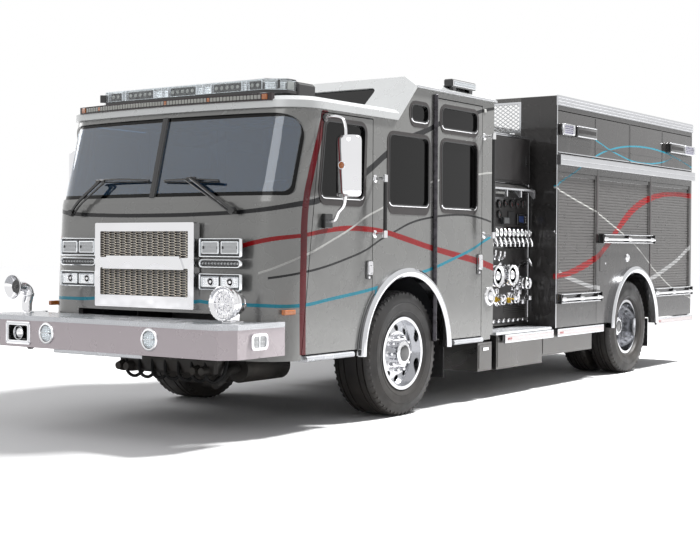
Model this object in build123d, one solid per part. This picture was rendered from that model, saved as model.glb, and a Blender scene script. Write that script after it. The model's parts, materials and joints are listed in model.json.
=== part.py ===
from build123d import *
from math import atan2, cos, radians, sin, sqrt
import os

# Fire engine: a four-door cab that tilts forward over its engine, a side pump panel and
# a compartment body. +X is the vehicle's left, +Y its rear, +Z up, and the floor is z = 0.
# Lengths are millimetres. Stations along the vehicle are measured from the front axle,
# and write() moves every piece so that the origin is under the middle of the whole box.

# Driving dimensions
FRONT_AXLE_Y = -2140.0
WHEELBASE = 4720.0
TYRE_RADIUS = 522.0
AXLE_Z = TYRE_RADIUS
BUMPER_FRONT = -2310.0
TAIL_END = 6602.0
CAB_HALF = 1250.0
CAB_REAR = 1500.0
CAB_BOTTOM = 560.0
BELT_Z = 1740.0
ROOF_Z = 2450.0
WALL = 50.0
BODY_HALF = 1270.0
BODY_FRONT = 2760.0
BODY_REAR = 6550.0
BODY_TOP = 2940.0
BODY_BOTTOM = 600.0
RAIL_X = 430.0
RAIL_BOTTOM = 660.0
RAIL_TOP = 900.0
GAP = 8.0
SKIN_GAP = 0.2

# Front face of the cab: its y at the bottom, at the belt and at the roof
FACE_BOTTOM_Y = -1800.0
FACE_BELT_Y = -1735.0
FACE_ROOF_Y = -1556.0
CORNER_RADIUS = 300.0
CROWN_RADIUS = 7000.0

# Wheel arches: height of their centre, outer and inner edge of the polished trims,
# and the play between a trim and the panel round it
ARCH_Z = 540.0
FRONT_ARCH = (695.0, 625.0)
REAR_ARCH = (665.0, 595.0)
TRIM_THICK = 15.0
TRIM_PLAY = 1.0

os.makedirs("parts", exist_ok=True)


# Shapes that many pieces are made from

def block(x0, x1, y0, y1, z0, z1):
    size = Box(x1 - x0, y1 - y0, z1 - z0)
    return Pos((x0 + x1) / 2, (y0 + y1) / 2, (z0 + z1) / 2) * size


def across(outline, x0, x1):
    """Extrude a polygon of (y, z) corners across the vehicle."""
    face = make_face(Polyline(*[(x0, y, z) for y, z in outline], close=True))
    return extrude(face, amount=x1 - x0, dir=(1, 0, 0))


def along(outline, y0, y1):
    """Extrude a polygon of (x, z) corners along the vehicle."""
    face = make_face(Polyline(*[(x, y0, z) for x, z in outline], close=True))
    return extrude(face, amount=y1 - y0, dir=(0, 1, 0))


def upward(outline, z0, z1):
    """Extrude a polygon of (x, y) corners upward."""
    face = make_face(Polyline(*[(x, y, z0) for x, y in outline], close=True))
    return extrude(face, amount=z1 - z0, dir=(0, 0, 1))


def side_round(y0, y1, z0, z1, radius, x0, x1):
    """A rounded rectangle seen from the side, extruded across the vehicle."""
    spot = Plane(origin=(x0, (y0 + y1) / 2, (z0 + z1) / 2), x_dir=(0, 1, 0), z_dir=(1, 0, 0))
    return extrude(spot * RectangleRounded(y1 - y0, z1 - z0, radius), amount=x1 - x0)


def front_round(x0, x1, z0, z1, radius, y0, y1):
    """A rounded rectangle seen from the front, extruded along the vehicle."""
    spot = Plane(origin=((x0 + x1) / 2, y1, (z0 + z1) / 2), x_dir=(1, 0, 0), z_dir=(0, -1, 0))
    return extrude(spot * RectangleRounded(x1 - x0, z1 - z0, radius), amount=y1 - y0)


def disc_x(radius, x0, x1, y, z):
    return Pos((x0 + x1) / 2, y, z) * Rot(0, 90, 0) * Cylinder(radius, x1 - x0)


def disc_y(radius, y0, y1, x, z):
    return Pos(x, (y0 + y1) / 2, z) * Rot(90, 0, 0) * Cylinder(radius, y1 - y0)


def turned(profile, axis_y, axis_z, arc=360):
    """Revolve a profile of (x, radius) corners about an axle line along X."""
    corners = [(x, axis_y + r, axis_z) for x, r in profile]
    face = make_face(Polyline(*corners, close=True))
    return revolve(face, axis=Axis((0, axis_y, axis_z), (1, 0, 0)), revolution_arc=arc)


def other_side(shape):
    return mirror(shape, about=Plane.YZ)


def both(shape):
    return [shape, other_side(shape)]


def joined(shapes):
    total = shapes[0]
    for shape in shapes[1:]:
        total = total + shape
    return total


def write(node, shapes):
    """Write one node, as one solid or as several that don't touch."""
    shapes = shapes if isinstance(shapes, list) else [shapes]
    solids = [solid for shape in shapes for solid in shape.solids()]
    placed = [Pos(0, FRONT_AXLE_Y, 0) * solid for solid in solids]
    export_step(placed[0] if len(placed) == 1 else Compound(placed), f"parts/{node}.step")


# Cab shell

def cab_outline(inset, front, z, rear=CAB_REAR):
    """The cab in plan: straight sides, round front corners and a slightly crowned front."""
    half = CAB_HALF - inset
    corner = CORNER_RADIUS - inset
    crown = CROWN_RADIUS - inset
    crown_y = front + inset + crown
    corner_x = half - corner
    corner_y = crown_y - sqrt((crown - corner) ** 2 - corner_x ** 2)
    reach = crown / (crown - corner)
    touch_x = corner_x * reach
    touch_y = crown_y + (corner_y - crown_y) * reach
    turn = atan2(touch_y - corner_y, touch_x - corner_x) / 2
    bow_x = corner_x + corner * cos(turn)
    bow_y = corner_y + corner * sin(turn)
    edges = [
        Line((half, rear, z), (half, corner_y, z)),
        ThreePointArc((half, corner_y, z), (bow_x, bow_y, z), (touch_x, touch_y, z)),
        ThreePointArc((touch_x, touch_y, z), (0, front + inset, z), (-touch_x, touch_y, z)),
        ThreePointArc((-touch_x, touch_y, z), (-bow_x, bow_y, z), (-half, corner_y, z)),
        Line((-half, corner_y, z), (-half, rear, z)),
        Line((-half, rear, z), (half, rear, z)),
    ]
    return make_face(edges)


def cab_solid(inset, bottom=CAB_BOTTOM, top=ROOF_Z):
    """The cab as a filled form, its walls moved in by the inset."""
    belt = cab_outline(inset, FACE_BELT_Y, BELT_Z)
    lower = loft([cab_outline(inset, FACE_BOTTOM_Y, bottom), belt], ruled=True)
    upper = loft([belt, cab_outline(inset, FACE_ROOF_Y, top)], ruled=True)
    return lower + upper


def door_line(z):
    """The y of the leaning seam between the cab's front and its front doors."""
    return -1445.0 + (z - 555.0) * 245.0 / 1882.0


# Raised rear roof, seen from the side: foot and top of its sloped front, on the side walls
SLOPE_FOOT = (-163.0, ROOF_Z)
SLOPE_TOP = (129.0, 2748.0)
SLOPE_THICK = 42.0
RAISED_TOP = 2858.0
EAVE_HALF = 1272.0
EAVE_Z = 2766.0
PEAK_HALF = 1105.0

# Doors seen from the side: y and z limits of the panel
FRONT_DOOR_REAR = -505.0
FRONT_DOOR_TOP = 2425.0
REAR_DOOR = (445.0, 1275.0)
REAR_DOOR_TOP = 2690.0
DOOR_BOTTOM = 600.0
DOOR_ARCH = 712.0

# Windows seen from the side: y0, y1, z0, z1, corner radius
FRONT_DOOR_WINDOW = [(-1218, 1782), (-1145, 2370), (-607, 2370), (-633, 1782)]
FIXED_WINDOW = (-270, 350, 1750, 2335, 60)
REAR_DOOR_WINDOW = (560, 1180, 1750, 2335, 60)
UPPER_FIXED_WINDOW = (62, 340, 2462, 2612, 70)
UPPER_DOOR_WINDOW = (556, 1184, 2440, 2628, 80)


def door_outlines():
    front = [
        (door_line(DOOR_BOTTOM) + GAP, DOOR_BOTTOM),
        (door_line(FRONT_DOOR_TOP) + GAP, FRONT_DOOR_TOP),
        (FRONT_DOOR_REAR, FRONT_DOOR_TOP),
        (FRONT_DOOR_REAR, DOOR_BOTTOM),
    ]
    rear = [
        (REAR_DOOR[0], DOOR_BOTTOM),
        (REAR_DOOR[0], REAR_DOOR_TOP),
        (REAR_DOOR[1], REAR_DOOR_TOP),
        (REAR_DOOR[1], DOOR_BOTTOM),
    ]
    return front, rear


def grown(outline, by):
    """Move each corner of a four-sided outline out by the same distance."""
    mid_y = sum(y for y, z in outline) / len(outline)
    mid_z = sum(z for y, z in outline) / len(outline)
    return [(y + (by if y > mid_y else -by), z + (by if z > mid_z else -by)) for y, z in outline]


def rounded_window(outline, radius, x0, x1):
    hole = across(outline, x0, x1)
    return fillet(hole.edges().filter_by(Axis.X), radius)


def build_cab():
    shell = cab_solid(0) - cab_solid(WALL, CAB_BOTTOM - 1, ROOF_Z + 1)
    raised = [SLOPE_FOOT, SLOPE_TOP, (CAB_REAR, SLOPE_TOP[1]), (CAB_REAR, ROOF_Z)]
    for side in both(across(raised, CAB_HALF - WALL, CAB_HALF)):
        shell = shell + side

    seam = [(door_line(400), 400), (door_line(2600), 2600)]
    ahead = across([(-2200, 400)] + seam + [(-2200, 2600)], -1400, 1400)
    front = shell & ahead
    rest = shell - ahead

    # Windshield opening, which wraps round both corners, with a middle post
    glass_side = [(-2200, 1785), (-1484, 1785), (-1312, 2412), (-2200, 2412)]
    opening = across(glass_side, -1400, 1400)
    ends = opening.edges().filter_by(Axis.X).filter_by(lambda e: e.center().Y > -1600)
    opening = fillet(ends.sort_by(Axis.Z)[-1], 160)
    ends = opening.edges().filter_by(Axis.X).filter_by(lambda e: e.center().Y > -1600)
    opening = fillet(ends.sort_by(Axis.Z)[0], 90)
    post = block(-24, 24, -2200, -1000, 1700, 2500)
    front = front - (opening - post)
    front = front - block(-800, 800, -2100, -1200, 500, 900)
    panes = (cab_solid(14) - cab_solid(22)) & (opening - post)
    write("cab_front", front)

    # Side walls: the door openings leave a frame round the arch, and the steps are the sills
    front_door, rear_door = door_outlines()
    arch = disc_x(FRONT_ARCH[1] + TRIM_THICK + TRIM_PLAY, 0, 1400, 0, ARCH_Z)
    arch_frame = disc_x(DOOR_ARCH - GAP, 1000, 1500, 0, ARCH_Z)
    side = rest & block(0, 1400, -1600, CAB_REAR - WALL, 400, 3000)
    whole_side = side
    side = side - (across(grown(front_door, GAP), 1100, 1400) - arch_frame)
    side = side - (across(grown(rear_door, GAP), 1100, 1400) - arch_frame)
    for y0, y1 in ((-1600, FRONT_DOOR_REAR + GAP), (REAR_DOOR[0] - GAP, REAR_DOOR[1] + GAP)):
        side = side - block(1100, 1400, y0, y1, 400, DOOR_BOTTOM - GAP)
    fixed = [side_round(*FIXED_WINDOW, 1100, 1400), side_round(*UPPER_FIXED_WINDOW, 1100, 1400)]
    side = side - arch - joined(fixed)
    for name, wall in zip(("left", "right"), both(side)):
        write(f"cab_side_{name}", wall)

    glass_sheet = block(CAB_HALF - 24, CAB_HALF - 16, -1600, CAB_REAR, 600, 2800)
    sheets = [glass_sheet & hole for hole in fixed]
    roof_pane = build_roof()
    write("cab_glass", [panes, roof_pane] + sheets + [other_side(s) for s in sheets])

    # Doors: the same wall, cut out with a gap all round
    round_arch = disc_x(DOOR_ARCH, 0, 1400, 0, ARCH_Z)
    front_hole = rounded_window(FRONT_DOOR_WINDOW, 60, 1100, 1400)
    rear_holes = [side_round(*REAR_DOOR_WINDOW, 1100, 1400), side_round(*UPPER_DOOR_WINDOW, 1100, 1400)]
    panels = {
        "front_door": (front_door, [front_hole]),
        "rear_door": (rear_door, rear_holes),
    }
    for name, (outline, holes) in panels.items():
        panel = (whole_side & across(outline, 1100, 1400)) - round_arch
        for hole in holes:
            panel = panel - hole
        glass = [glass_sheet & hole for hole in holes]
        for hand, turn_over in (("left", lambda s: s), ("right", other_side)):
            write(f"{name}_{hand}", turn_over(panel))
            write(f"{name}_{hand}_glass", [turn_over(pane) for pane in glass])

    rear_wall = block(-CAB_HALF, CAB_HALF, CAB_REAR - WALL, CAB_REAR, CAB_BOTTOM + 40, SLOPE_TOP[1])
    rear_wall = rear_wall - front_round(-700, 700, 1900, 2350, 60, CAB_REAR - 2 * WALL, CAB_REAR + 10)
    rear_wall = rear_wall - block(-560, 560, CAB_REAR - 2 * WALL, CAB_REAR + 10, 500, 920)
    write("cab_rear_wall", rear_wall)


# Low roof: how far its lip stands out, and the height of its edge and of its crown
ROOF_LIP = 22.0
ROOF_EDGE = 55.0
ROOF_CROWN = 92.0


def roof_form():
    """The raised roof's outside as a bar with its chamfered eaves."""
    return along([
        (-EAVE_HALF, 2400), (EAVE_HALF, 2400), (EAVE_HALF, EAVE_Z),
        (PEAK_HALF, RAISED_TOP), (-PEAK_HALF, RAISED_TOP), (-EAVE_HALF, EAVE_Z)], -1000, CAB_REAR + 20)


def low_roof_form():
    """The low roof's outside: an upright edge and a crown that draws in above it."""
    edge = cab_outline(-ROOF_LIP, FACE_ROOF_Y, ROOF_Z + ROOF_EDGE)
    cap = loft([cab_outline(-ROOF_LIP, FACE_ROOF_Y, ROOF_Z), edge], ruled=True)
    crown = loft([edge, cab_outline(40, FACE_ROOF_Y, ROOF_Z + ROOF_CROWN)], ruled=True)
    return cap + crown


def build_roof():
    """Write the low roof with the raised roof behind it, and return the raised roof's front pane."""
    foot_y, foot_z = SLOPE_FOOT
    top_y, top_z = SLOPE_TOP
    lean = (top_z - foot_z) / (top_y - foot_y)
    peak_y = foot_y - SLOPE_THICK + (RAISED_TOP - foot_z) / lean
    slope_line = [(foot_y - SLOPE_THICK, foot_z), (peak_y, RAISED_TOP)]
    behind = across(slope_line + [(2000, RAISED_TOP), (2000, foot_z)], -1400, 1400)
    low_roof = low_roof_form() - behind
    outer = behind & roof_form()
    under_walls = across([(foot_y, foot_z), (top_y, top_z), (2000, top_z), (2000, foot_z)], -1400, 1400)
    inner_top = RAISED_TOP - 32
    inner_y = foot_y + (inner_top - foot_z) / lean
    inner_rear = CAB_REAR - WALL
    inside = across([(foot_y, foot_z), (inner_y, inner_top), (inner_rear, inner_top), (inner_rear, foot_z)],
                    -CAB_HALF, CAB_HALF)
    inside = inside & along([
        (-1200, 2400), (1200, 2400), (1200, 2748), (1090, inner_top), (-1090, inner_top), (-1200, 2748)],
        -1000, CAB_REAR)
    roof = outer - under_walls - inside

    # Wide window in the sloped front, cut square to the slope
    slope = atan2(top_z - foot_z, top_y - foot_y)
    mid = Plane(origin=(0, (foot_y + peak_y) / 2, (foot_z + RAISED_TOP) / 2 + 12),
                x_dir=(1, 0, 0), z_dir=(0, -sin(slope), cos(slope)))
    half_top = 880.0
    half_low = 850.0
    rise = 138.0
    corners = [(-half_low, -rise), (half_low, -rise), (half_top, rise), (-half_top, rise)]
    sketch = fillet(make_face(Polyline(*corners, close=True)).vertices(), 60)
    hole = extrude(mid * sketch, amount=120, both=True)
    write("cab_roof", low_roof + (roof - hole))
    near, far = foot_y - 28, peak_y + 14
    sheet = [(near, foot_z), (far, RAISED_TOP), (far + 8, RAISED_TOP), (near + 8, foot_z)]
    slab = across(sheet, -1200, 1200)
    return slab & hole


# Inner wall of the front wheel wells, clear of a tyre at full lock
WELL_INNER = 592.0


def build_cab_inside():
    floor_top = 985.0
    rear = CAB_REAR - WALL
    plan = upward([(-1196, -1620), (1196, -1620), (1196, rear), (-1196, rear)], 935, floor_top)
    floor = fillet(plan.edges().filter_by(Axis.Z).filter_by(lambda e: e.center().Y < 0), 260)
    # Step wells behind the doors, engine opening and wheel wells
    for y0, y1 in ((-1400, -720), (720, 1270)):
        for x0, x1 in ((850, 1300), (-1300, -850)):
            floor = floor - block(x0, x1, y0, y1, 900, 1000)
    floor = floor - block(-450, 450, -1200, 420, 900, 1000)
    for x0, x1 in ((WELL_INNER, 1300), (-1300, -WELL_INNER)):
        floor = floor - disc_x(705, x0, x1, 0, ARCH_Z)
    liner_ring = turned([(WELL_INNER, 690), (1196, 690), (1196, 706), (WELL_INNER, 706)], 0, ARCH_Z, 180)
    above = block(500, 1300, -800, 800, ARCH_Z + 60, 1400)
    inner_wall = disc_x(706, WELL_INNER - 12, WELL_INNER, 0, ARCH_Z)
    inner_wall = inner_wall & block(500, 1300, -800, 800, 880, 1400)
    wells = [(liner_ring & above) + inner_wall]
    for y0, y1, wall_y in ((-1400, -720, -1412), (720, 1270, 1270)):
        tread = block(850, 1196, y0, y1, 604, 624)
        riser = block(838, 850, y0, y1, 604, floor_top)
        end = block(838, 1196, wall_y, wall_y + 12, 604, floor_top)
        wells.append(tread + riser + end)
    for well in wells:
        for piece in both(well):
            floor = floor + piece
    write("cab_floor", floor)

    # Dashboard, engine cover, steering column and wheel
    dash_side = [(-1660, 1250), (-1660, 1730), (-1480, 1765), (-1330, 1700), (-1330, 1560), (-1450, 1250)]
    dash = across(dash_side, -1150, 1150) & cab_solid(WALL + 2)
    cover_side = [(-1330, 985), (-1330, 1430), (-1180, 1500), (330, 1500), (450, 1400), (450, 985)]
    cover = across(cover_side, -480, 480)
    cover = cover - block(-440, 440, -1290, 410, 900, 1460)
    cover = fillet(cover.edges().filter_by(Axis.Y).filter_by(lambda e: e.center().Z > 1490), 60)
    column_end = (760, -1130, 1640)
    column_foot = (760, -1400, 1500)
    tilt = Plane(origin=column_end, z_dir=Vector(*column_end) - Vector(*column_foot))
    column = extrude(tilt * Circle(35), amount=-300)
    rim = revolve(tilt * Pos(225, 0) * Rot(90, 0, 0) * Rectangle(28, 28), axis=Axis(column_end, tilt.z_dir))
    spoke_plan = Rectangle(440, 40) + Rectangle(40, 220, align=(Align.CENTER, Align.MAX))
    spokes = extrude(tilt * spoke_plan, amount=12, both=True)
    write("cab_interior", [dash + cover + column + rim + spokes])

    # Seats: centre x, front y of the cushion, facing (1 = looks ahead, -1 = looks back)
    seats = [
        (760, -1010, 1), (-760, -1010, 1),
        (800, 60, -1), (-800, 60, -1),
        (810, 900, 1), (270, 900, 1), (-270, 900, 1), (-810, 900, 1),
    ]
    pieces = []
    for x, y, facing in seats:
        back = y + facing * 500
        low, high = sorted((y, back))
        cushion_z = 1400.0 if abs(y) < 1500 and y < 500 else 1330.0
        cushion = block(x - 240, x + 240, low, high, cushion_z - 130, cushion_z)
        stem_z = 1255.0 if -400 < (low + high) / 2 < 500 else floor_top
        pedestal = block(x - 180, x + 180, low + 60, high - 60, stem_z, cushion_z - 130)
        lean = [(0, cushion_z - 60), (70, 2080), (160, 2080), (130, cushion_z - 60)]
        rest = across([(back + facing * (d - 130), z) for d, z in lean], x - 230, x + 230)
        pieces.append(cushion + rest + pedestal)
    write("seats", pieces)


# Running gear

# Front ends of the frame rails: their top and outer side, and the rear face of the bumper's brackets
HORN_TOP = 800.0
HORN_OUTER = 462.0
BRACKET_REAR = -2292.0


def build_chassis():
    """Two channel rails that open inward and drop at the front, joined by cross members."""
    outer_x, inner_x = RAIL_X + 45, RAIL_X - 45
    rail = block(inner_x, outer_x, -1400, 6500, RAIL_BOTTOM, RAIL_TOP)
    rail = rail - block(inner_x - 1, outer_x - 12, -1410, 6510, RAIL_BOTTOM + 14, RAIL_TOP - 14)
    horn = block(inner_x, HORN_OUTER, BRACKET_REAR, -1300, RAIL_BOTTOM, HORN_TOP)
    horn = horn - block(inner_x - 1, HORN_OUTER - 12, -2300, -1310, RAIL_BOTTOM + 14, HORN_TOP - 14)
    members = [block(-RAIL_X - 30, RAIL_X + 30, -1995, -1905, 700, HORN_TOP - 14)]
    for y in (1250, 2350, 3400, 4150, 5350, 6400):
        members.append(block(-RAIL_X - 30, RAIL_X + 30, y - 45, y + 45, 800, RAIL_TOP - 14))
    write("chassis_frame", joined(both(rail + horn) + members))

    engine = block(-340, 340, -1120, 330, 640, 930) + block(-400, 400, -1120, 330, 930, 1420)
    gearbox = block(-210, 210, 330, 1050, 590, 790)
    write("engine_block", engine + gearbox)


def leaf_pack(axle_y, half_length, seat_z, eye_z, thick, x):
    """A bowed spring: low on the axle, high at its two eyes."""
    ends = [(axle_y - half_length, eye_z), (axle_y + half_length, eye_z)]
    low = ThreePointArc((x, ends[0][0], eye_z), (x, axle_y, seat_z), (x, ends[1][0], eye_z))
    upper_z = eye_z + 16
    top = ThreePointArc((x, ends[1][0], upper_z), (x, axle_y, seat_z + thick), (x, ends[0][0], upper_z))
    close_rear = Line((x, ends[1][0], eye_z), (x, ends[1][0], upper_z))
    close_front = Line((x, ends[0][0], upper_z), (x, ends[0][0], eye_z))
    face = make_face([low, close_rear, top, close_front])
    pack = extrude(face, amount=80, dir=(1, 0, 0))
    return Pos(-40, 0, 0) * pack


KINGPIN_X = 800.0
KINGPIN_RADIUS = 25.0
SPINDLE_RADIUS = 45.0
RUNNING_FIT = 0.05


def build_front_axle():
    web = block(-750, 750, -16, 16, 440, 560)
    flanges = block(-750, 750, -50, 50, 440, 462) + block(-750, 750, -50, 50, 538, 560)
    beam = web + flanges
    for side in (1, -1):
        x = side * KINGPIN_X
        eye = Pos(x, 0, 500) * Cylinder(45, 120)
        beam = beam + eye
        beam = beam - Pos(x, 0, 500) * Cylinder(KINGPIN_RADIUS + RUNNING_FIT, 200)
        spring = leaf_pack(0, 680, 560, 640, 62, side * RAIL_X)
        seat = block(side * RAIL_X - 45, side * RAIL_X + 45, -70, 70, 550, 585)
        beam = beam + spring + seat
        for y in (-640, 640):
            beam = beam + block(side * RAIL_X - 30, side * RAIL_X + 30, y - 40, y + 40, 640, RAIL_BOTTOM)
    write("front_axle", beam)

    for name, side in (("left", 1), ("right", -1)):
        pin = Pos(KINGPIN_X, 0, 500) * Cylinder(KINGPIN_RADIUS, 220)
        arms = block(745, 900, -50, 50, 390, 432) + block(745, 900, -50, 50, 568, 610)
        plate = block(882, 905, -70, 70, 390, 615)
        spindle = disc_x(70, 900, 925, 0, AXLE_Z) + disc_x(SPINDLE_RADIUS, 905, 1130, 0, AXLE_Z)
        knuckle = pin + arms + plate + spindle
        write(f"knuckle_{name}", knuckle if side > 0 else other_side(knuckle))


def wheel_ring(profile, y):
    return turned(profile, y, AXLE_Z)


def tyre(x0, x1, rim_x0, rim_x1, y):
    """A tyre with its beads between the rim's flanges and rounded shoulders."""
    mid = (x0 + x1) / 2
    half = (x1 - x0) / 2
    walls = [(half - 6, 345), (half, 410), (half - 16, 484), (half - 62, TYRE_RADIUS)]
    right = [(rim_x1 - 15, 287), (rim_x1 - 15, 307)] + [(mid + x, r) for x, r in walls]
    left = [(mid - x, r) for x, r in reversed(walls)] + [(rim_x0 + 15, 307), (rim_x0 + 15, 287)]
    return wheel_ring(right + left, y)


def rim(x0, x1, disc_x0, dish, y):
    """A rim between two flanges, with its disc and hand holes."""
    barrel = wheel_ring([
        (x0, 276), (x0, 304), (x0 + 10, 304), (x0 + 14, 286), (x1 - 14, 286), (x1 - 10, 304),
        (x1, 304), (x1, 276)], y)
    disc = wheel_ring([(disc_x0, 80), (disc_x0, 180), (disc_x0 - dish, 280), (disc_x0 - dish - 14, 280),
                       (disc_x0 - 16, 172), (disc_x0 - 16, 80)], y)
    for step in range(10):
        angle = radians(36 * step + 18)
        hole_y, hole_z = y + 213 * cos(angle), AXLE_Z + 213 * sin(angle)
        disc = disc - disc_x(29, disc_x0 - 200, disc_x0 + 200, hole_y, hole_z)
    return barrel + disc


def build_wheels():
    bore = SPINDLE_RADIUS + RUNNING_FIT
    hub = wheel_ring([(932, bore), (932, 120), (1010, 120), (1010, 100), (1225, 100), (1225, 70),
                      (1245, 66), (1245, 0), (1136, 0), (1136, bore)], 0)
    front = rim(900, 1228, 1165, 30, 0) + hub
    write("front_wheel_left", front)
    write("front_wheel_right", other_side(front))
    tread = tyre(857, 1242, 900, 1228, 0)
    write("front_tyre_left", tread)
    write("front_tyre_right", other_side(tread))

    y = WHEELBASE
    hub = wheel_ring([(640, bore), (640, 120), (890, 120), (890, 105), (1090, 105), (1112, 80),
                      (1112, 0), (1006, 0), (1006, bore)], y)
    outer = rim(976, 1198, 940, -40, y)
    inner = wheel_ring([
        (650, 276), (650, 304), (660, 304), (664, 286), (858, 286), (862, 304), (872, 304), (872, 276)], y)
    inner_disc = wheel_ring([(908, 110), (908, 180), (850, 280), (836, 280), (894, 172), (894, 110)], y)
    link = wheel_ring([(905, 118), (905, 170), (926, 170), (926, 118)], y)
    pair = outer + inner + inner_disc + link + hub
    write("rear_wheel_left", pair)
    write("rear_wheel_right", other_side(pair))
    twins = [tyre(945, 1235, 976, 1198, y), tyre(610, 900, 650, 872, y)]
    write("rear_tyre_left", twins)
    write("rear_tyre_right", [other_side(t) for t in twins])


def build_rear_axle():
    y = WHEELBASE
    housing = disc_x(75, -600, 600, y, AXLE_Z) + disc_x(215, -130, 130, y, AXLE_Z)
    housing = housing + disc_y(120, y - 330, y - 150, 0, AXLE_Z)
    for side in (1, -1):
        x0, x1 = sorted((side * 590, side * 1000))
        housing = housing + disc_x(SPINDLE_RADIUS, x0, x1, y, AXLE_Z)
        flange = sorted((side * 600, side * 630))
        housing = housing + disc_x(110, flange[0], flange[1], y, AXLE_Z)
        housing = housing + leaf_pack(y, 720, 575, 640, 58, side * RAIL_X)
        for end in (y - 680, y + 680):
            hanger_x = side * RAIL_X
            housing = housing + block(hanger_x - 30, hanger_x + 30, end - 40, end + 40, 640, RAIL_BOTTOM)
    pump_box = block(-170, 170, 1880, 2200, 560, 790)
    shaft_z = 690.0
    front_shaft = disc_y(45, 1050, 1880, 0, shaft_z)
    rear_start = Vector(0, 2200, shaft_z)
    rear_end = Vector(0, y - 330, AXLE_Z)
    run = rear_end - rear_start
    rear_shaft = extrude(Plane(origin=rear_start, z_dir=run) * Circle(50), amount=run.length)
    write("rear_axle", joined([housing, pump_box, front_shaft, rear_shaft]))


# Front bumper, its deck and what stands on it

BUMPER_PLAN = [
    (-1272, -1665), (-1272, -2200), (-1185, BUMPER_FRONT),
    (1185, BUMPER_FRONT), (1272, -2200), (1272, -1665),
]
BUMPER_LAMP_X = 540.0
BUMPER_LAMP_Z = 732.0


def build_bumper():
    outer = upward(BUMPER_PLAN, 614, 850)
    hollow = [(-1260, -1600), (-1260, -2196), (-1179, -2298), (1179, -2298), (1260, -2196), (1260, -1600)]
    shell = outer - upward(hollow, 600, 838)
    for x in (BUMPER_LAMP_X, -BUMPER_LAMP_X):
        shell = shell - disc_y(72, -2320, -2280, x, BUMPER_LAMP_Z)
    shell = shell - front_round(-990, -730, 645, 805, 20, -2320, -2280)
    # The top is open behind its edge, where the cab's front comes down
    open_top = [(-1230, -1600), (-1230, -1700), (-1140, -1830), (1140, -1830), (1230, -1700), (1230, -1600)]
    shell = shell - upward(open_top, 700, 900)
    bracket = block(RAIL_X - 45, HORN_OUTER, -2298, BRACKET_REAR, 640, 838)
    write("front_bumper", joined([shell] + both(bracket)))

    rim_plan = [(-1278, -1672), (-1278, -2202), (-1188, -2318), (1188, -2318), (1278, -2202), (1278, -1672)]
    lip = upward(rim_plan, 822, 860) - upward(BUMPER_PLAN, 800, 850.5)
    cut_left = [(-1240, -1600), (-1240, -1690), (-1160, -1800), (-1040, -1842)]
    cut = upward(cut_left + [(-x, y) for x, y in reversed(cut_left)], 800, 900)
    boards = both(block(930, 1265, PUMP_FRONT - 20, 2690, 590, 618))
    tailboard = block(-1230, 1230, BODY_REAR, TAIL_END, 560, 600)
    write("treadplate", [lip - cut] + boards + [tailboard])

    # Chrome pieces: two round lamps, the square lamp, two side lamps, the siren and the horn
    pieces = []
    for x in (BUMPER_LAMP_X, -BUMPER_LAMP_X):
        ring = disc_y(84, -2322, -2310, x, BUMPER_LAMP_Z) - disc_y(62, -2330, -2300, x, BUMPER_LAMP_Z)
        bowl = disc_y(70, -2310, -2250, x, BUMPER_LAMP_Z) - disc_y(60, -2330, -2262, x, BUMPER_LAMP_Z)
        pieces.append(ring + bowl)
    frame = front_round(-1000, -720, 635, 812, 24, -2322, -2310)
    frame = frame + front_round(-988, -732, 647, 803, 22, -2310, -2250)
    pieces.append(frame - front_round(-965, -755, 668, 780, 12, -2330, -2264))
    for lamp in both(side_round(-2060, -1880, 672, 790, 30, 1272, 1286)):
        pieces.append(lamp)
    siren = revolve(
        make_face(Polyline((0, -2110, 0), (118, -2110, 0), (122, -2090, 0), (116, -2050, 0), (94, -1985, 0),
                           (82, -1935, 0), (58, -1900, 0), (0, -1888, 0), close=True)),
        axis=Axis((0, 0, 0), (0, 1, 0)))
    siren_x = 1050.0
    siren = Pos(siren_x, 0, 1000) * siren
    siren = siren + block(siren_x - 45, siren_x + 45, -2060, -1920, 860, 960)
    pieces.append(siren)
    horn = Pos(-1160, -2090, 1070) * Rot(90, 0, 0) * Cylinder(95, 60)
    stem = block(-1175, -1060, -2110, -1960, 860, 880) + disc_y(42, -2062, -1975, -1150, 1060)
    stem = stem + Pos(-1130, -2010, 950) * Cylinder(36, 180)
    pieces.append(horn + stem)
    write("bumper_fittings", pieces)


# Cab fittings

def build_front_fittings():
    face_y = -1822.0
    surround = front_round(-524, 524, 928, 1586, 12, face_y, -1757)
    upper = front_round(-465, 465, 1316, 1520, 8, -1900, face_y + 30)
    lower = front_round(-465, 465, 1019, 1235, 8, -1900, face_y + 30)
    surround = surround - upper - lower - cab_solid(0)
    bar = along([(-430, 1226), (430, 1226), (385, 1328), (-385, 1328)], face_y - 12, face_y)
    write("grille", surround + bar)

    lamps = []
    for z0, z1, radius in ((1323, 1470, 14), (1244, 1312, 33), (1076, 1206, 14)):
        bezel = front_round(548, 956, z0, z1, radius, -1790, -1700)
        well = front_round(562, 942, z0 + 14, z1 - 14, min(radius - 4, 18), -1800, -1772)
        lamps.append((bezel - well) - cab_solid(-SKIN_GAP))
    write("headlamp_bezels", [piece for lamp in lamps for piece in both(lamp)])


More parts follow.
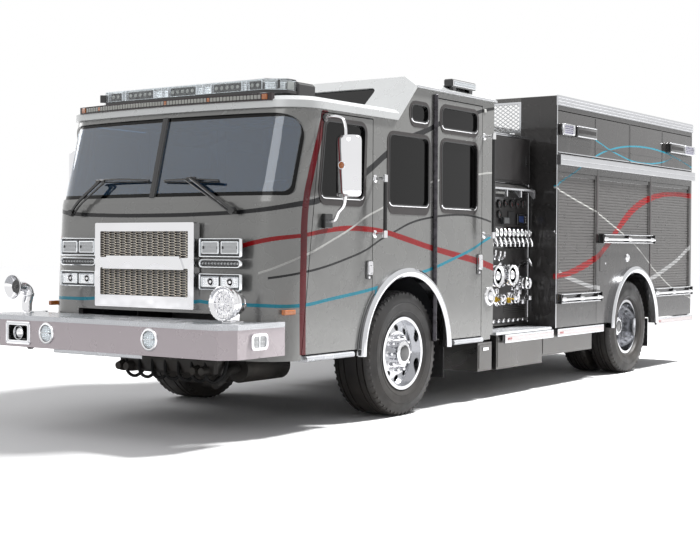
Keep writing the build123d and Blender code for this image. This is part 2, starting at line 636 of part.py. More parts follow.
def build_roof_fittings():
    """Lightbar on two feet, box behind it, marker strip on the roof's front edge and two scene lights."""
    top = ROOF_Z + ROOF_CROWN
    bar_front, bar_rear = -1390.0, -1165.0
    bend, end = 850.0, 985.0
    left_end = [(-end, bar_rear), (-end, bar_rear - 110), (-bend, bar_front)]
    plan = left_end + [(-x, y) for x, y in reversed(left_end)]
    feet = [block(x - 50, x + 50, -1330, -1190, top, 2580) for x in (-700, 700)]
    bar = joined([upward(plan, 2580, 2690)] + feet)
    housing = extrude(cab_outline(-ROOF_LIP - 14, FACE_ROOF_Y, 2500), amount=56)
    behind = extrude(cab_outline(30, FACE_ROOF_Y, 2490), amount=90)
    marker = (housing - behind - low_roof_form()) & block(-1020, 1020, -1700, -1400, 2400, 2600)
    box = block(-900, 900, -1030, -800, top, 2700)
    light = block(1150, 1240, 750, 1180, 2812, 2892) + block(1195, 1225, 790, 850, 2770, 2820)
    write("roof_equipment", [bar, marker, box] + both(light - roof_form()))


def build_cab_sides():
    # Black grab rails on chrome feet: y, low z, high z
    rails = []
    for y, low, high in ((-470, 1490, 1975), (1315, 1500, 2440)):
        bar = Pos(1350, y, (low + high) / 2) * Cylinder(16, high - low)
        feet = [disc_x(14, CAB_HALF, 1350, y, z) for z in (low + 20, high - 20)]
        flanges = [disc_x(28, CAB_HALF, CAB_HALF + 8, y, z) for z in (low + 20, high - 20)]
        rails.append(joined([bar] + feet + flanges))
    write("grab_rails", [piece for rail in rails for piece in both(rail)])

    steps = []
    for y0, y1 in ((-1400, -780), (760, 1275)):
        step = block(1120, 1278, y0, y1, 545, 588)
        outer_edges = step.edges().filter_by(Axis.Y).filter_by(lambda e: e.center().X > 1200)
        steps += both(fillet(outer_edges, 18))
    write("cab_steps", steps)


def arch_trim(axle_y, radii, skin, proud):
    """Half a ring: a band that is rolled over the side's skin, and a lining in the opening."""
    outer, inner = radii
    lining = inner + TRIM_THICK
    mid = (outer + inner) / 2
    corners = [
        (skin - WALL, inner), (proud - 16, inner), (proud - 4, inner + 16), (proud, mid),
        (proud - 4, outer - 16), (proud - 16, outer), (skin, outer), (skin, lining), (skin - WALL, lining),
    ]
    return turned(corners, axle_y, ARCH_Z, 180)


def build_arches():
    write("front_arches", both(arch_trim(0, FRONT_ARCH, CAB_HALF, 1298)))
    flaps = []
    for y, x0 in ((700, 900), (WHEELBASE + 630, 640)):
        flaps += both(block(x0, 1195, y, y + 14, 260, 588))
    write("mud_flaps", flaps)


def build_mirrors():
    """A tall mirror head on an upper arm and a lower arm, with the door's latch handle."""
    low_z, high_z = 1780.0, 2250.0
    inner_x, outer_x, back_y = 1345.0, 1555.0, -1095.0
    plan = make_face([
        Line((inner_x, back_y, low_z), (inner_x, back_y - 30, low_z)),
        ThreePointArc((inner_x, back_y - 30, low_z), ((inner_x + outer_x) / 2, back_y - 105, low_z),
                      (outer_x, back_y - 30, low_z)),
        Line((outer_x, back_y - 30, low_z), (outer_x, back_y, low_z)),
        Line((outer_x, back_y, low_z), (inner_x, back_y, low_z)),
    ])
    head = extrude(plan, amount=high_z - low_z, dir=(0, 0, 1))
    bowed = head.edges().filter_by(GeomType.CIRCLE)
    head = fillet(bowed, 24)
    arm_x, arm_y = 1425.0, -1145.0
    upper = disc_x(13, CAB_HALF, arm_x, arm_y, 2387) + Pos(arm_x, arm_y, 2315) * Cylinder(13, 170)
    lower = disc_x(13, CAB_HALF, arm_x, arm_y, 1640) + Pos(arm_x, arm_y, 1715) * Cylinder(13, 176)
    foot = block(CAB_HALF, 1292, -1172, -1118, 1546, 1660)
    handle = side_round(-580, -530, 1160, 1290, 20, CAB_HALF, 1285)
    fittings = [joined([head, upper, lower, foot]), handle]
    write("front_door_left_fittings", fittings)
    write("front_door_right_fittings", [other_side(f) for f in fittings])
    handle = side_round(1205, 1255, 1170, 1340, 20, CAB_HALF, 1285)
    write("rear_door_left_handle", handle)
    write("rear_door_right_handle", other_side(handle))


# Pump module between the cab and the body

PANEL_HALF = 960.0
PUMP_FRONT = 1560.0


def build_pump():
    front, rear = PUMP_FRONT, BODY_FRONT
    side = block(PANEL_HALF - 40, PANEL_HALF, front, rear, 640, 2450)
    walls = both(side)
    walls.append(block(-PANEL_HALF, PANEL_HALF, front, front + 40, 920, 2450))
    walls.append(block(-PANEL_HALF, PANEL_HALF, rear - 40, rear, 920, 2450))
    walls.append(block(-PANEL_HALF, PANEL_HALF, front, rear, 2000, 2030))
    for x in (-320, 320):
        walls.append(block(x - 15, x + 15, front, rear, 2000, 2450))
    walls.append(block(-PANEL_HALF, PANEL_HALF, front, rear, 905, 935))
    write("pump_module", joined(walls))

    # Fittings on each panel: ports with their caps, given as y, z, radius and the cap's x
    fittings = []
    ports = [
        (2185, 1141, 88, 1085), (1890, 1136, 88, 1085), (2590, 1050, 55, 1040),
        (1760, 940, 55, 1040), (2360, 905, 45, 1030), (2080, 900, 45, 1030),
    ]
    for y, z, radius, reach in ports:
        body = disc_x(radius, PANEL_HALF, reach, y, z)
        fittings.append(body + disc_x(radius * 1.2, reach, reach + 25, y, z))

    # Two rows of valve handles: height of the row, first y, spacing and count
    for z, first, pitch, count in ((1553, 1700, 86, 12), (1462, 1668, 92, 12)):
        for step in range(count):
            y = first + pitch * step
            stem = block(PANEL_HALF, 1030, y - 8, y + 8, z - 8, z + 8)
            fittings.append(stem + block(1030, 1048, y - 24, y + 24, z - 18, z + 18))

    # Upper cabinet and the hood with the panel's lamps below it
    cabinet = block(PANEL_HALF, PANEL_HALF + 40, 1600, 2700, 2050, 2510)
    hood_edge = PANEL_HALF + 130
    hood = along([(PANEL_HALF, 2048), (hood_edge, 1985), (hood_edge, 1960), (PANEL_HALF, 1960)], 1640, 2660)
    fittings += [cabinet, hood]
    write("pump_fittings", [piece for fitting in fittings for piece in both(fitting)])


# Compartment body

# Shuttered openings: y0, y1 and low edge
SHUTTERS = [(2810, 3725, 860), (3775, 5200, 1500), (5250, 6480, 860)]
SHUTTER_TOP = 2180.0
HATCHES = [(2790, 4590), (4625, 6520)]
HATCH_LAMPS = [((2810, 3070), (3120, 3610)), ((5690, 6140), (6165, 6500))]
HATCH_BOTTOM = 2370.0
HATCH_TOP = 2790.0
BOX_INNER = 640.0
UPPER_INNER = 870.0
SCREEN_BOTTOM = 2580.0


def build_body():
    opening_radius = REAR_ARCH[1] + TRIM_THICK + TRIM_PLAY
    arch = disc_x(opening_radius, 0, 1400, WHEELBASE, ARCH_Z)
    inner, upper, outer = BOX_INNER, UPPER_INNER, BODY_HALF
    pieces = [
        block(outer - 40, outer, BODY_FRONT, BODY_REAR, BODY_BOTTOM, BODY_TOP),
        block(inner, inner + 30, BODY_FRONT, BODY_REAR, BODY_BOTTOM, 2240),
        block(upper, upper + 30, BODY_FRONT, BODY_REAR, 2200, BODY_TOP),
        block(inner, outer, BODY_FRONT, BODY_FRONT + 40, BODY_BOTTOM, 2240),
        block(upper, outer, BODY_FRONT, BODY_FRONT + 40, 2200, BODY_TOP),
        block(inner, outer, BODY_REAR - 40, BODY_REAR, BODY_BOTTOM, 2240),
        block(upper, outer, BODY_REAR - 40, BODY_REAR, 2200, BODY_TOP),
        block(inner, outer, 3735, 3765, BODY_BOTTOM, 2230),
        block(inner, outer, 5210, 5240, BODY_BOTTOM, 2230),
        block(inner, outer, BODY_FRONT, BODY_REAR, 2200, 2240),
        block(upper, outer, BODY_FRONT, BODY_REAR, 2330, 2360),
        block(upper, outer, BODY_FRONT, BODY_REAR, 2900, BODY_TOP),
        block(inner, outer, BODY_FRONT, 3765, BODY_BOTTOM, BODY_BOTTOM + 30),
        block(inner, outer, 5210, BODY_REAR, BODY_BOTTOM, BODY_BOTTOM + 30),
        block(inner, outer, 3735, 5240, 1400, 1430),
        block(upper, outer, 4595, 4620, 2330, BODY_TOP),
    ]
    liner = [(inner, opening_radius), (outer - 20, opening_radius),
             (outer - 20, opening_radius + 14), (inner, opening_radius + 14)]
    liner = turned(liner, WHEELBASE, ARCH_Z, 180) & block(600, 1400, 4000, 5500, BODY_BOTTOM, 1300)
    module = joined(pieces) - arch
    module = module + liner
    for y0, y1, z0 in SHUTTERS:
        module = module - block(outer - 50, outer + 10, y0, y1, z0, SHUTTER_TOP)
    for y0, y1 in HATCHES:
        low, high = HATCH_BOTTOM - GAP, HATCH_TOP + GAP
        module = module - block(outer - 50, outer + 10, y0 - GAP, y1 + GAP, low, high)
    write("body_side_left", module)
    write("body_side_right", other_side(module))

    hose_bed = [
        block(-inner, inner, BODY_FRONT, BODY_FRONT + 40, 920, 2280),
        block(-upper, upper, BODY_FRONT, BODY_FRONT + 40, 2240, SCREEN_BOTTOM),
        block(-upper, upper, BODY_FRONT, BODY_FRONT + 40, 2900, BODY_TOP),
        block(-25, 25, BODY_FRONT, BODY_FRONT + 40, SCREEN_BOTTOM, 2900),
        block(-inner, inner, BODY_FRONT, BODY_REAR, 1720, 1750),
        block(-590, 590, BODY_FRONT, BODY_REAR, 905, 935),
        block(-inner, inner, BODY_REAR - 40, BODY_REAR, 905, 1750),
        block(-15, 15, BODY_FRONT + 40, BODY_REAR, 1750, 2350),
    ]
    bed = joined(hose_bed) - block(-520, 520, BODY_REAR - 60, BODY_REAR + 10, 980, 1660)
    write("hose_bed", bed)

    curtains = [both(block(outer - 34, outer - 16, y0, y1, z0, SHUTTER_TOP)) for y0, y1, z0 in SHUTTERS]
    curtains.append([block(-520, 520, BODY_REAR - 34, BODY_REAR - 16, 980, 1660)])
    write("shutters", [piece for pair in curtains for piece in pair])

    # Upper doors, each with the two lamps that ride on it
    for name, (y0, y1), lamps in zip(("front", "rear"), HATCHES, HATCH_LAMPS):
        hatch = block(outer - 36, outer - 1, y0, y1, HATCH_BOTTOM, HATCH_TOP)
        for lamp_y0, lamp_y1 in lamps:
            hatch = hatch + side_round(lamp_y0, lamp_y1, 2547, 2665, 20, outer - 1, outer + 40)
        write(f"hatch_{name}_left", hatch)
        write(f"hatch_{name}_right", other_side(hatch))

    bars = []
    for y0, y1, z in ((2780, 3825, 850), (3885, 5255, 1488), (5330, 6495, 850)):
        bar = disc_y(16, y0, y1, 1330, z) + block(outer, 1340, y0, y0 + 30, z - 16, z + 16)
        bar = bar + block(outer, 1340, y1 - 30, y1, z - 16, z + 16)
        bars += both(bar)
    write("lift_bars", bars)

    trim = []
    trim += both(block(outer, outer + 12, BODY_FRONT, BODY_REAR, 2845, BODY_TOP + 6))
    trim += both(block(outer, outer + 48, BODY_FRONT + 5, BODY_REAR - 10, 2245, 2348))
    for y0, y1 in ((1670, 2686), (2780, 3900), (5395, 6580)):
        trim += both(block(outer - 5, outer + 22, y0, y1, 512, 589))
    trim += both(arch_trim(WHEELBASE, REAR_ARCH, BODY_HALF, 1330))
    write("body_trim", trim)

    lamps = []
    for z in (1000, 1180, 1360):
        lamps += both(block(900, 1120, BODY_REAR, BODY_REAR + 22, z, z + 150))
    write("tail_lamps", lamps)

    boxes = []
    for x0, x1, y0, y1, z0, z1 in ((760, 1240, 1240, 1500, 274, 535), (700, 1240, 1590, 2534, 268, 588),
                                   (640, 1220, 2564, 3747, 330, 585)):
        boxes += both(block(x0, x1, y0, y1, z0, z1))
    write("under_boxes", boxes)


build_cab()
build_cab_inside()
build_chassis()
build_front_axle()
build_wheels()
build_rear_axle()
build_bumper()
build_front_fittings()
build_roof_fittings()
build_cab_sides()
build_arches()
build_mirrors()
build_pump()
build_body()
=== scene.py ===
import json
from math import cos, pi, radians, sin, sqrt

import bmesh
import bpy
from mathutils import Matrix, Vector


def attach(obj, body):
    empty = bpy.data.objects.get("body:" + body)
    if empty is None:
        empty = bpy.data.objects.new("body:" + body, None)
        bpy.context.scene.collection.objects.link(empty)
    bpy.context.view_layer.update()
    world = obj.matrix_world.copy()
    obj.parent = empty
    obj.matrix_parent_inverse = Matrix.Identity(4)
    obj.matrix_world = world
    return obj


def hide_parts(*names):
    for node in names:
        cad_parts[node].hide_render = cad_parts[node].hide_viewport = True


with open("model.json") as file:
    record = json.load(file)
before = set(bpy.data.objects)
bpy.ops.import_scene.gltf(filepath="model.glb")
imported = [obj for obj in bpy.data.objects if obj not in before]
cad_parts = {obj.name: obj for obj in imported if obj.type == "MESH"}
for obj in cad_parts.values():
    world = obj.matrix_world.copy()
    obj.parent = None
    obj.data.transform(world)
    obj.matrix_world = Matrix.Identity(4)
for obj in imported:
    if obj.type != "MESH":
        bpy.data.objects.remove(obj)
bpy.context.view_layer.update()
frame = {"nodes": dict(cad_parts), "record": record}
cad = frame["nodes"]

# Lengths are metres. As in the CAD source, y is counted from the front axle, and Part.place()
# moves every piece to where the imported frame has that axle.
AXLE_Y = -2.140
WHEELBASE = 4.720
WHEEL_Z = 0.522
CAB_SIDE = 1.250
SHARP = radians(35)


def add_object(name, data):
    made = bpy.data.objects.new(name, data)
    bpy.context.scene.collection.objects.link(made)
    return made


def sided(sign, a, b):
    """Two x values on the left (1) or the right (-1) side, the smaller first."""
    return sorted((sign * a, sign * b))


# Camera, solved from the photograph

def make_camera():
    yaw, pitch, roll = 0.6114, -0.0158, 0.0057
    ahead = Vector((-sin(yaw) * cos(pitch), cos(yaw) * cos(pitch), sin(pitch)))
    level_right = Vector((cos(yaw), sin(yaw), 0))
    level_up = level_right.cross(ahead)
    right = cos(roll) * level_right + sin(roll) * level_up
    up = cos(roll) * level_up - sin(roll) * level_right
    data = bpy.data.cameras.new("camera")
    data.sensor_width = 36
    data.lens = 66.79
    data.clip_end = 200
    camera = add_object("camera", data)
    camera.matrix_world = Matrix.Translation((7.0783, -11.2673, 1.4105)) @ Matrix(
        (right, up, -ahead)).transposed().to_4x4()
    bpy.context.scene.camera = camera


# Shader graphs

def linear(red, green, blue):
    """A colour given as it looks on a screen, 0 to 255, in the renderer's own scale."""
    def one(value):
        value = value / 255
        return value / 12.92 if value <= 0.04045 else ((value + 0.055) / 1.055) ** 2.4
    return (one(red), one(green), one(blue), 1.0)


class Graph:
    """Adds nodes to one tree, each with its inputs set or joined."""

    def __init__(self, tree):
        self.tree = tree

    def feed(self, socket, value):
        if isinstance(value, bpy.types.NodeSocket):
            self.tree.links.new(value, socket)
        else:
            socket.default_value = value

    def add(self, kind, inputs=None, **settings):
        node = self.tree.nodes.new(kind)
        for name, value in settings.items():
            setattr(node, name, value)
        for name, value in (inputs or {}).items():
            self.feed(node.inputs[name], value)
        return node

    def math(self, operation, *values, clamp=False):
        node = self.add("ShaderNodeMath", operation=operation, use_clamp=clamp)
        for socket, value in zip(node.inputs, values):
            self.feed(socket, value)
        return node.outputs[0]

    def mix(self, amount, first, second):
        node = self.add("ShaderNodeMix", data_type="RGBA")
        self.feed(node.inputs[0], amount)
        self.feed(node.inputs[6], first)
        self.feed(node.inputs[7], second)
        return node.outputs[2]

    def spread(self, value, low, high, to_low, to_high):
        node = self.add("ShaderNodeMapRange", {
            "Value": value, "From Min": low, "From Max": high, "To Min": to_low, "To Max": to_high})
        return node.outputs[0]

    def scaled(self, vector, scale):
        node = self.add("ShaderNodeVectorMath", operation="MULTIPLY")
        self.feed(node.inputs[0], vector)
        self.feed(node.inputs[1], scale)
        return node.outputs[0]

    def noise(self, vector, scale, detail=3.0):
        return self.add("ShaderNodeTexNoise", {"Vector": vector, "Scale": scale, "Detail": detail}).outputs[0]

    def place(self):
        return self.add("ShaderNodeTexCoord").outputs["Object"]

    def parts(self, vector):
        return self.add("ShaderNodeSeparateXYZ", {"Vector": vector}).outputs

    def group(self, name, **inputs):
        node = self.add("ShaderNodeGroup", node_tree=bpy.data.node_groups[name])
        for key, value in inputs.items():
            self.feed(node.inputs[key], value)
        return node.outputs


def effect(name, inputs, outputs):
    """Start a node group with named sockets, and return its graph and its two ends."""
    tree = bpy.data.node_groups.new(name, "ShaderNodeTree")
    for kind, sockets in (("INPUT", inputs), ("OUTPUT", outputs)):
        for label, form, value in sockets:
            socket = tree.interface.new_socket(name=label, in_out=kind, socket_type="NodeSocket" + form)
            if kind == "INPUT":
                socket.default_value = value
    graph = Graph(tree)
    return graph, graph.add("NodeGroupInput").outputs, graph.add("NodeGroupOutput").inputs


def line_height(graph, along, points):
    """The height of a drawn line at each place along the vehicle, from its (place, height) points."""
    start, end = points[0][0], points[-1][0]
    node = graph.add("ShaderNodeFloatCurve", {"Value": graph.spread(along, start, end, 0.0, 1.0)})
    curve = node.mapping.curves[0]
    curve.points[0].location = (0.0, points[0][1] / 3)
    curve.points[1].location = (1.0, points[-1][1] / 3)
    for spot, height in points[1:-1]:
        curve.points.new((spot - start) / (end - start), height / 3)
    node.mapping.update()
    return graph.math("MULTIPLY", node.outputs[0], 3.0)


def within(graph, value, low, high):
    return graph.math("MULTIPLY", graph.math("GREATER_THAN", value, low),
                      graph.math("LESS_THAN", value, high))


def drawn_band(graph, along, height, top, bottom):
    inside = within(graph, along, top[0][0], top[-1][0])
    return graph.math("MULTIPLY", inside, within(
        graph, height, line_height(graph, along, bottom), line_height(graph, along, top)))


def drawn_line(graph, along, height, points, width):
    inside = within(graph, along, points[0][0], points[-1][0])
    away = graph.math("ABSOLUTE", graph.math("SUBTRACT", height, line_height(graph, along, points)))
    return graph.math("MULTIPLY", inside, graph.math("LESS_THAN", away, width / 2))


# Stripes on the cab, and a painted shadow along its side. The first number wraps round the front corners: it
# is y on the side, and on the front it goes on by the distance from the side.
CAB_RED_TOP = [(-2.15, 1.408), (-1.83, 1.470), (-1.386, 1.510), (-1.198, 1.538), (-0.897, 1.570),
               (-0.636, 1.572), (-0.335, 1.552), (-0.08, 1.513), (0.396, 1.428), (0.819, 1.367),
               (1.177, 1.317), (1.56, 1.240)]
CAB_RED_LOW = [(-2.15, 1.372), (-1.83, 1.436), (-1.386, 1.480), (-1.197, 1.504), (-0.896, 1.531),
               (-0.636, 1.530), (-0.334, 1.510), (-0.079, 1.465), (0.396, 1.380), (0.82, 1.312),
               (1.178, 1.257), (1.56, 1.180)]
CAB_TURQUOISE = [(-2.62, 1.014), (-2.417, 0.985), (-1.944, 0.973), (-1.394, 0.972), (-1.064, 1.007),
                 (-0.769, 1.038), (-0.546, 1.064), (0.205, 1.186), (0.481, 1.238), (0.768, 1.306),
                 (1.085, 1.385), (1.36, 1.478), (1.589, 1.545)]
CAB_WHITE = [(-1.90, 1.210), (-1.779, 1.238), (-1.627, 1.280), (-1.446, 1.331), (-1.323, 1.364),
             (-1.068, 1.452), (-0.802, 1.552), (-0.595, 1.646), (-0.337, 1.733), (-0.150, 1.815),
             (0.100, 1.900), (0.373, 1.962), (0.504, 1.985), (1.204, 2.071), (1.399, 2.094), (1.52, 2.100)]
CAB_BLACK = [(-1.802, 1.173), (-1.445, 1.212), (-1.195, 1.246), (-0.867, 1.313), (-0.592, 1.384),
             (-0.378, 1.469), (-0.156, 1.541), (0.073, 1.611), (0.393, 1.663), (0.643, 1.686), (0.902, 1.697),
             (1.172, 1.685), (1.453, 1.645)]
# The dark band: across the front it is a band painted under the windshield; its rise along the cab side, from
# the front door back to the raised roof, is a painted shadow.
COWL_BAND_AND_SHADOW_TOP = [(-3.05, 1.658), (-2.46, 1.664), (-1.94, 1.688), (-1.449, 1.747), (-1.238, 1.780),
                 (-0.600, 2.030), (-0.300, 2.194), (0.000, 2.330), (0.334, 2.432), (0.548, 2.505),
                 (1.195, 2.650), (1.343, 2.682), (1.53, 2.712)]
COWL_BAND_AND_SHADOW_LOW = [(-3.05, 1.628), (-2.46, 1.634), (-1.94, 1.656), (-1.449, 1.706), (-1.238, 1.732),
                 (-0.600, 1.970), (-0.300, 2.134), (0.000, 2.270), (0.334, 2.384), (0.548, 2.462),
                 (1.195, 2.616), (1.343, 2.652), (1.53, 2.686)]
# The red line beside the windshield's pillar: (height, y + 3)
PILLAR_LINE = [(0.600, 1.580), (1.309, 1.588), (1.754, 1.618), (1.981, 1.686), (2.211, 1.768), (2.443, 1.850)]

# Stripes on the body
BODY_RED_TOP = [(2.684, 1.147), (2.981, 1.163), (3.336, 1.232), (3.757, 1.346), (4.014, 1.476),
                (4.278, 1.631), (4.495, 1.768), (4.775, 1.899), (5.064, 1.988), (5.273, 2.030),
                (5.834, 2.086), (6.57, 2.089)]
BODY_RED_LOW = [(2.684, 1.095), (2.982, 1.107), (3.337, 1.159), (3.759, 1.276), (4.016, 1.400),
                (4.334, 1.577), (4.58, 1.714), (4.834, 1.833), (5.066, 1.908), (5.275, 1.960), (5.836, 2.032),
                (6.57, 2.027)]
BODY_TURQUOISE_1 = [(2.70, 2.008), (3.079, 2.146), (3.437, 2.284), (3.812, 2.417), (4.205, 2.501),
                    (4.617, 2.550), (5.05, 2.568), (5.506, 2.556), (5.986, 2.508), (6.561, 2.412)]
BODY_TURQUOISE_2 = [(3.605, 2.573), (3.809, 2.534), (4.072, 2.476), (4.342, 2.433), (4.677, 2.391),
                    (5.055, 2.384), (5.355, 2.401), (5.666, 2.442), (5.888, 2.497)]
BODY_WHITE = [(2.76, 2.016), (3.202, 1.915), (3.748, 1.794), (4.142, 1.673), (4.5, 1.557), (4.932, 1.378),
              (5.232, 1.227), (5.542, 1.095), (5.928, 0.945), (6.56, 0.790)]
BODY_SILVER_1 = [(2.865, 1.165), (3.052, 1.111), (3.34, 1.054), (3.587, 1.007), (3.842, 0.980)]
BODY_SILVER_2 = [(5.087, 1.032), (5.388, 1.074), (5.698, 1.152), (6.117, 1.269), (6.519, 1.429)]


def make_effects():
    graph, given, out = effect("vehicle_place", [], [
        ("Along", "Float", 0), ("Height", "Float", 0), ("Wrap", "Float", 0), ("Out", "Float", 0)])
    x, y, z = graph.parts(graph.place())[0:3]
    along = graph.math("SUBTRACT", y, AXLE_Y)
    inward = graph.math("SUBTRACT", CAB_SIDE, graph.math("ABSOLUTE", x))
    graph.feed(out["Out"], graph.math("ABSOLUTE", x))
    graph.feed(out["Along"], along)
    graph.feed(out["Height"], z)
    graph.feed(out["Wrap"], graph.math("SUBTRACT", along, graph.math("MAXIMUM", inward, 0.0)))

    masks = [(name, "Float", 0) for name in ("Red", "Turquoise", "White", "Dark", "Pillar", "Silver")]
    graph, given, out = effect("cab_stripes_and_shadow", [], masks)
    place = graph.group("vehicle_place")
    spot = (place["Wrap"], place["Height"])
    pillar = drawn_line(graph, place["Height"], graph.math("ADD", place["Along"], 3.0), PILLAR_LINE, 0.072)
    graph.feed(out["Pillar"], pillar)
    graph.feed(out["Red"], drawn_band(graph, *spot, CAB_RED_TOP, CAB_RED_LOW))
    graph.feed(out["Turquoise"], drawn_line(graph, *spot, CAB_TURQUOISE, 0.026))
    graph.feed(out["White"], drawn_line(graph, *spot, CAB_WHITE, 0.017))
    # Dark joins the thin black line and the band, whose run along the side is a painted shadow.
    dark = graph.math("MAXIMUM", drawn_line(graph, *spot, CAB_BLACK, 0.017),
                      drawn_band(graph, *spot, COWL_BAND_AND_SHADOW_TOP, COWL_BAND_AND_SHADOW_LOW))
    graph.feed(out["Dark"], dark)

    graph, given, out = effect("body_stripes", [], masks)
    place = graph.group("vehicle_place")
    spot = (place["Along"], place["Height"])
    on_side = graph.math("GREATER_THAN", place["Out"], 1.245)
    turquoise = graph.math("MAXIMUM", drawn_line(graph, *spot, BODY_TURQUOISE_1, 0.019),
                           drawn_line(graph, *spot, BODY_TURQUOISE_2, 0.015))
    pale = graph.math("MAXIMUM", drawn_line(graph, *spot, BODY_SILVER_1, 0.044),
                      drawn_line(graph, *spot, BODY_SILVER_2, 0.052))
    for name, mask in (("Red", drawn_band(graph, *spot, BODY_RED_TOP, BODY_RED_LOW)),
                       ("Turquoise", turquoise), ("White", drawn_line(graph, *spot, BODY_WHITE, 0.017)),
                       ("Silver", pale)):
        graph.feed(out[name], graph.math("MULTIPLY", mask, on_side))

    graph, given, out = effect("surface_wear", [("Colour", "Color", (1, 1, 1, 1)), ("Scale", "Float", 5.0),
        ("Contrast", "Float", 0.1)], [("Colour", "Color", 0), ("Wear", "Float", 0)])
    wear = graph.noise(graph.place(), given["Scale"], 4.0)
    half = graph.math("MULTIPLY", graph.math("SUBTRACT", wear, 0.5), given["Contrast"])
    shade = graph.math("ADD", 1.0, graph.math("MULTIPLY", half, 2.0))
    graph.feed(out["Colour"], graph.scaled(given["Colour"], shade))
    graph.feed(out["Wear"], wear)

    graph, given, out = effect(
        "road_dust", [("Colour", "Color", (1, 1, 1, 1)), ("Top", "Float", 0.9), ("Amount", "Float", 0.3)],
        [("Colour", "Color", 0), ("Dust", "Float", 0)])
    place = graph.group("vehicle_place")
    patch = graph.spread(graph.noise(graph.place(), 3.5, 5.0), 0.35, 0.75, 0.2, 1.0)
    low = graph.spread(place["Height"], 0.1, given["Top"], 1.0, 0.0)
    dust = graph.math("MULTIPLY", graph.math("MULTIPLY", patch, low), given["Amount"])
    graph.feed(out["Colour"], graph.mix(dust, given["Colour"], linear(150, 138, 122)))
    graph.feed(out["Dust"], dust)

    graph, given, out = effect("metal_flake", [], [("Flake", "Float", 0)])
    cells = graph.add("ShaderNodeTexVoronoi", {"Vector": graph.place(), "Scale": 700.0})
    graph.feed(out["Flake"], graph.parts(cells.outputs["Color"])[0])

    graph, given, out = effect("brushed_lines", [("Stretch", "Vector", (1, 1, 1))], [("Lines", "Float", 0)])
    graph.feed(out["Lines"], graph.noise(graph.scaled(graph.place(), given["Stretch"]), 1.0, 3.0))

    graph, given, out = effect("pressed_ripple", [("Scale", "Float", 5.0)], [("Ripple", "Float", 0)])
    graph.feed(out["Ripple"], graph.noise(graph.place(), given["Scale"], 1.0))

    graph, given, out = effect("tread_pattern", [("Pitch", "Float", 0.03)], [("Ridge", "Float", 0)])
    x, y, z = graph.parts(graph.place())[0:3]
    ny, nz = graph.parts(graph.add("ShaderNodeTexCoord").outputs["Normal"])[1:3]
    flat = graph.math("GREATER_THAN", graph.math("ABSOLUTE", nz), 0.6)
    facing = graph.math("GREATER_THAN", graph.math("ABSOLUTE", ny), 0.6)
    across = graph.add("ShaderNodeMix", data_type="FLOAT")
    graph.feed(across.inputs[0], graph.math("MAXIMUM", flat, facing))
    graph.feed(across.inputs[2], y)
    graph.feed(across.inputs[3], x)
    upright = graph.add("ShaderNodeMix", data_type="FLOAT")
    graph.feed(upright.inputs[0], flat)
    graph.feed(upright.inputs[2], z)
    graph.feed(upright.inputs[3], y)
    u = graph.math("DIVIDE", across.outputs[0], given["Pitch"])
    v = graph.math("DIVIDE", upright.outputs[0], given["Pitch"])
    first = graph.math("FLOORED_MODULO", graph.math("ADD", u, v), 2.0)
    second = graph.math("FLOORED_MODULO", graph.math("SUBTRACT", u, v), 2.0)
    bar_1 = graph.math("MULTIPLY", within(graph, first, 0.1, 0.9), within(graph, second, 0.38, 0.62))
    bar_2 = graph.math("MULTIPLY", within(graph, second, 1.1, 1.9), within(graph, first, 1.38, 1.62))
    graph.feed(out["Ridge"], graph.math("MAXIMUM", bar_1, bar_2))

    graph, given, out = effect("lens_grid", [("Pitch", "Float", 0.012)], [("Relief", "Float", 0)])
    x, y, z = graph.parts(graph.place())[0:3]
    waves = []
    for value in (graph.math("ADD", x, y), z):
        turn = graph.math("DIVIDE", value, given["Pitch"])
        waves.append(graph.math("ABSOLUTE", graph.math("SINE", graph.math("MULTIPLY", turn, pi))))
    graph.feed(out["Relief"], graph.math("MULTIPLY", waves[0], waves[1]))

    # Distance inward from the windshield opening's edge, its corners rounded
    graph, given, out = effect("windshield_border", [("Width", "Float", 0.03)], [("Border", "Float", 0)])
    place = graph.group("vehicle_place")
    height, along = place["Height"], place["Along"]
    lean = graph.math("MULTIPLY", graph.math("SUBTRACT", height, 1.785), 0.2743)
    side = graph.math("MULTIPLY", graph.math("SUBTRACT", graph.math("SUBTRACT", lean, 1.484), along), 1.1)
    depths = []
    for edge, radius in ((graph.math("SUBTRACT", height, 1.785), 0.09),
                         (graph.math("SUBTRACT", 2.412, height), 0.16)):
        short_edge = graph.math("MAXIMUM", graph.math("SUBTRACT", radius, edge), 0.0)
        short_side = graph.math("MAXIMUM", graph.math("SUBTRACT", radius, side), 0.0)
        square = graph.math("ADD", graph.math("POWER", short_edge, 2.0), graph.math("POWER", short_side, 2.0))
        depths.append(graph.math("SUBTRACT", radius, graph.math("SQRT", square)))
    graph.feed(out["Border"], graph.math("LESS_THAN", graph.math("MINIMUM", *depths), given["Width"]))

    graph, given, out = effect("expanded_mesh", [("Width", "Float", 0.05), ("Rise", "Float", 0.03)],
                               [("Solid", "Float", 0)])
    x, y, z = graph.parts(graph.place())[0:3]
    u = graph.math("DIVIDE", graph.math("ADD", x, y), given["Width"])
    v = graph.math("DIVIDE", z, given["Rise"])
    edges = []
    for operation in ("ADD", "SUBTRACT"):
        part = graph.math("FRACT", graph.math(operation, u, v))
        edges.append(graph.math("GREATER_THAN", graph.math("ABSOLUTE", graph.math("SUBTRACT", part, 0.5)),
                                0.38))
    graph.feed(out["Solid"], graph.math("MAXIMUM", edges[0], edges[1]))


# Dark also paints the shadow along the cab side.
STRIPE_COLOURS = (("Dark", (18, 18, 21)), ("Silver", (186, 186, 186)), ("Red", (160, 0, 10)),
                  ("Turquoise", (34, 150, 174)), ("White", (212, 212, 208)), ("Pillar", (104, 0, 16)))
MATERIALS = {}


def new_material(name):
    """Make and list a material under this name, and return its graph and its shader."""
    material = bpy.data.materials.new(name)
    material.use_nodes = True
    MATERIALS[name] = material
    return Graph(material.node_tree), material.node_tree.nodes["Principled BSDF"]


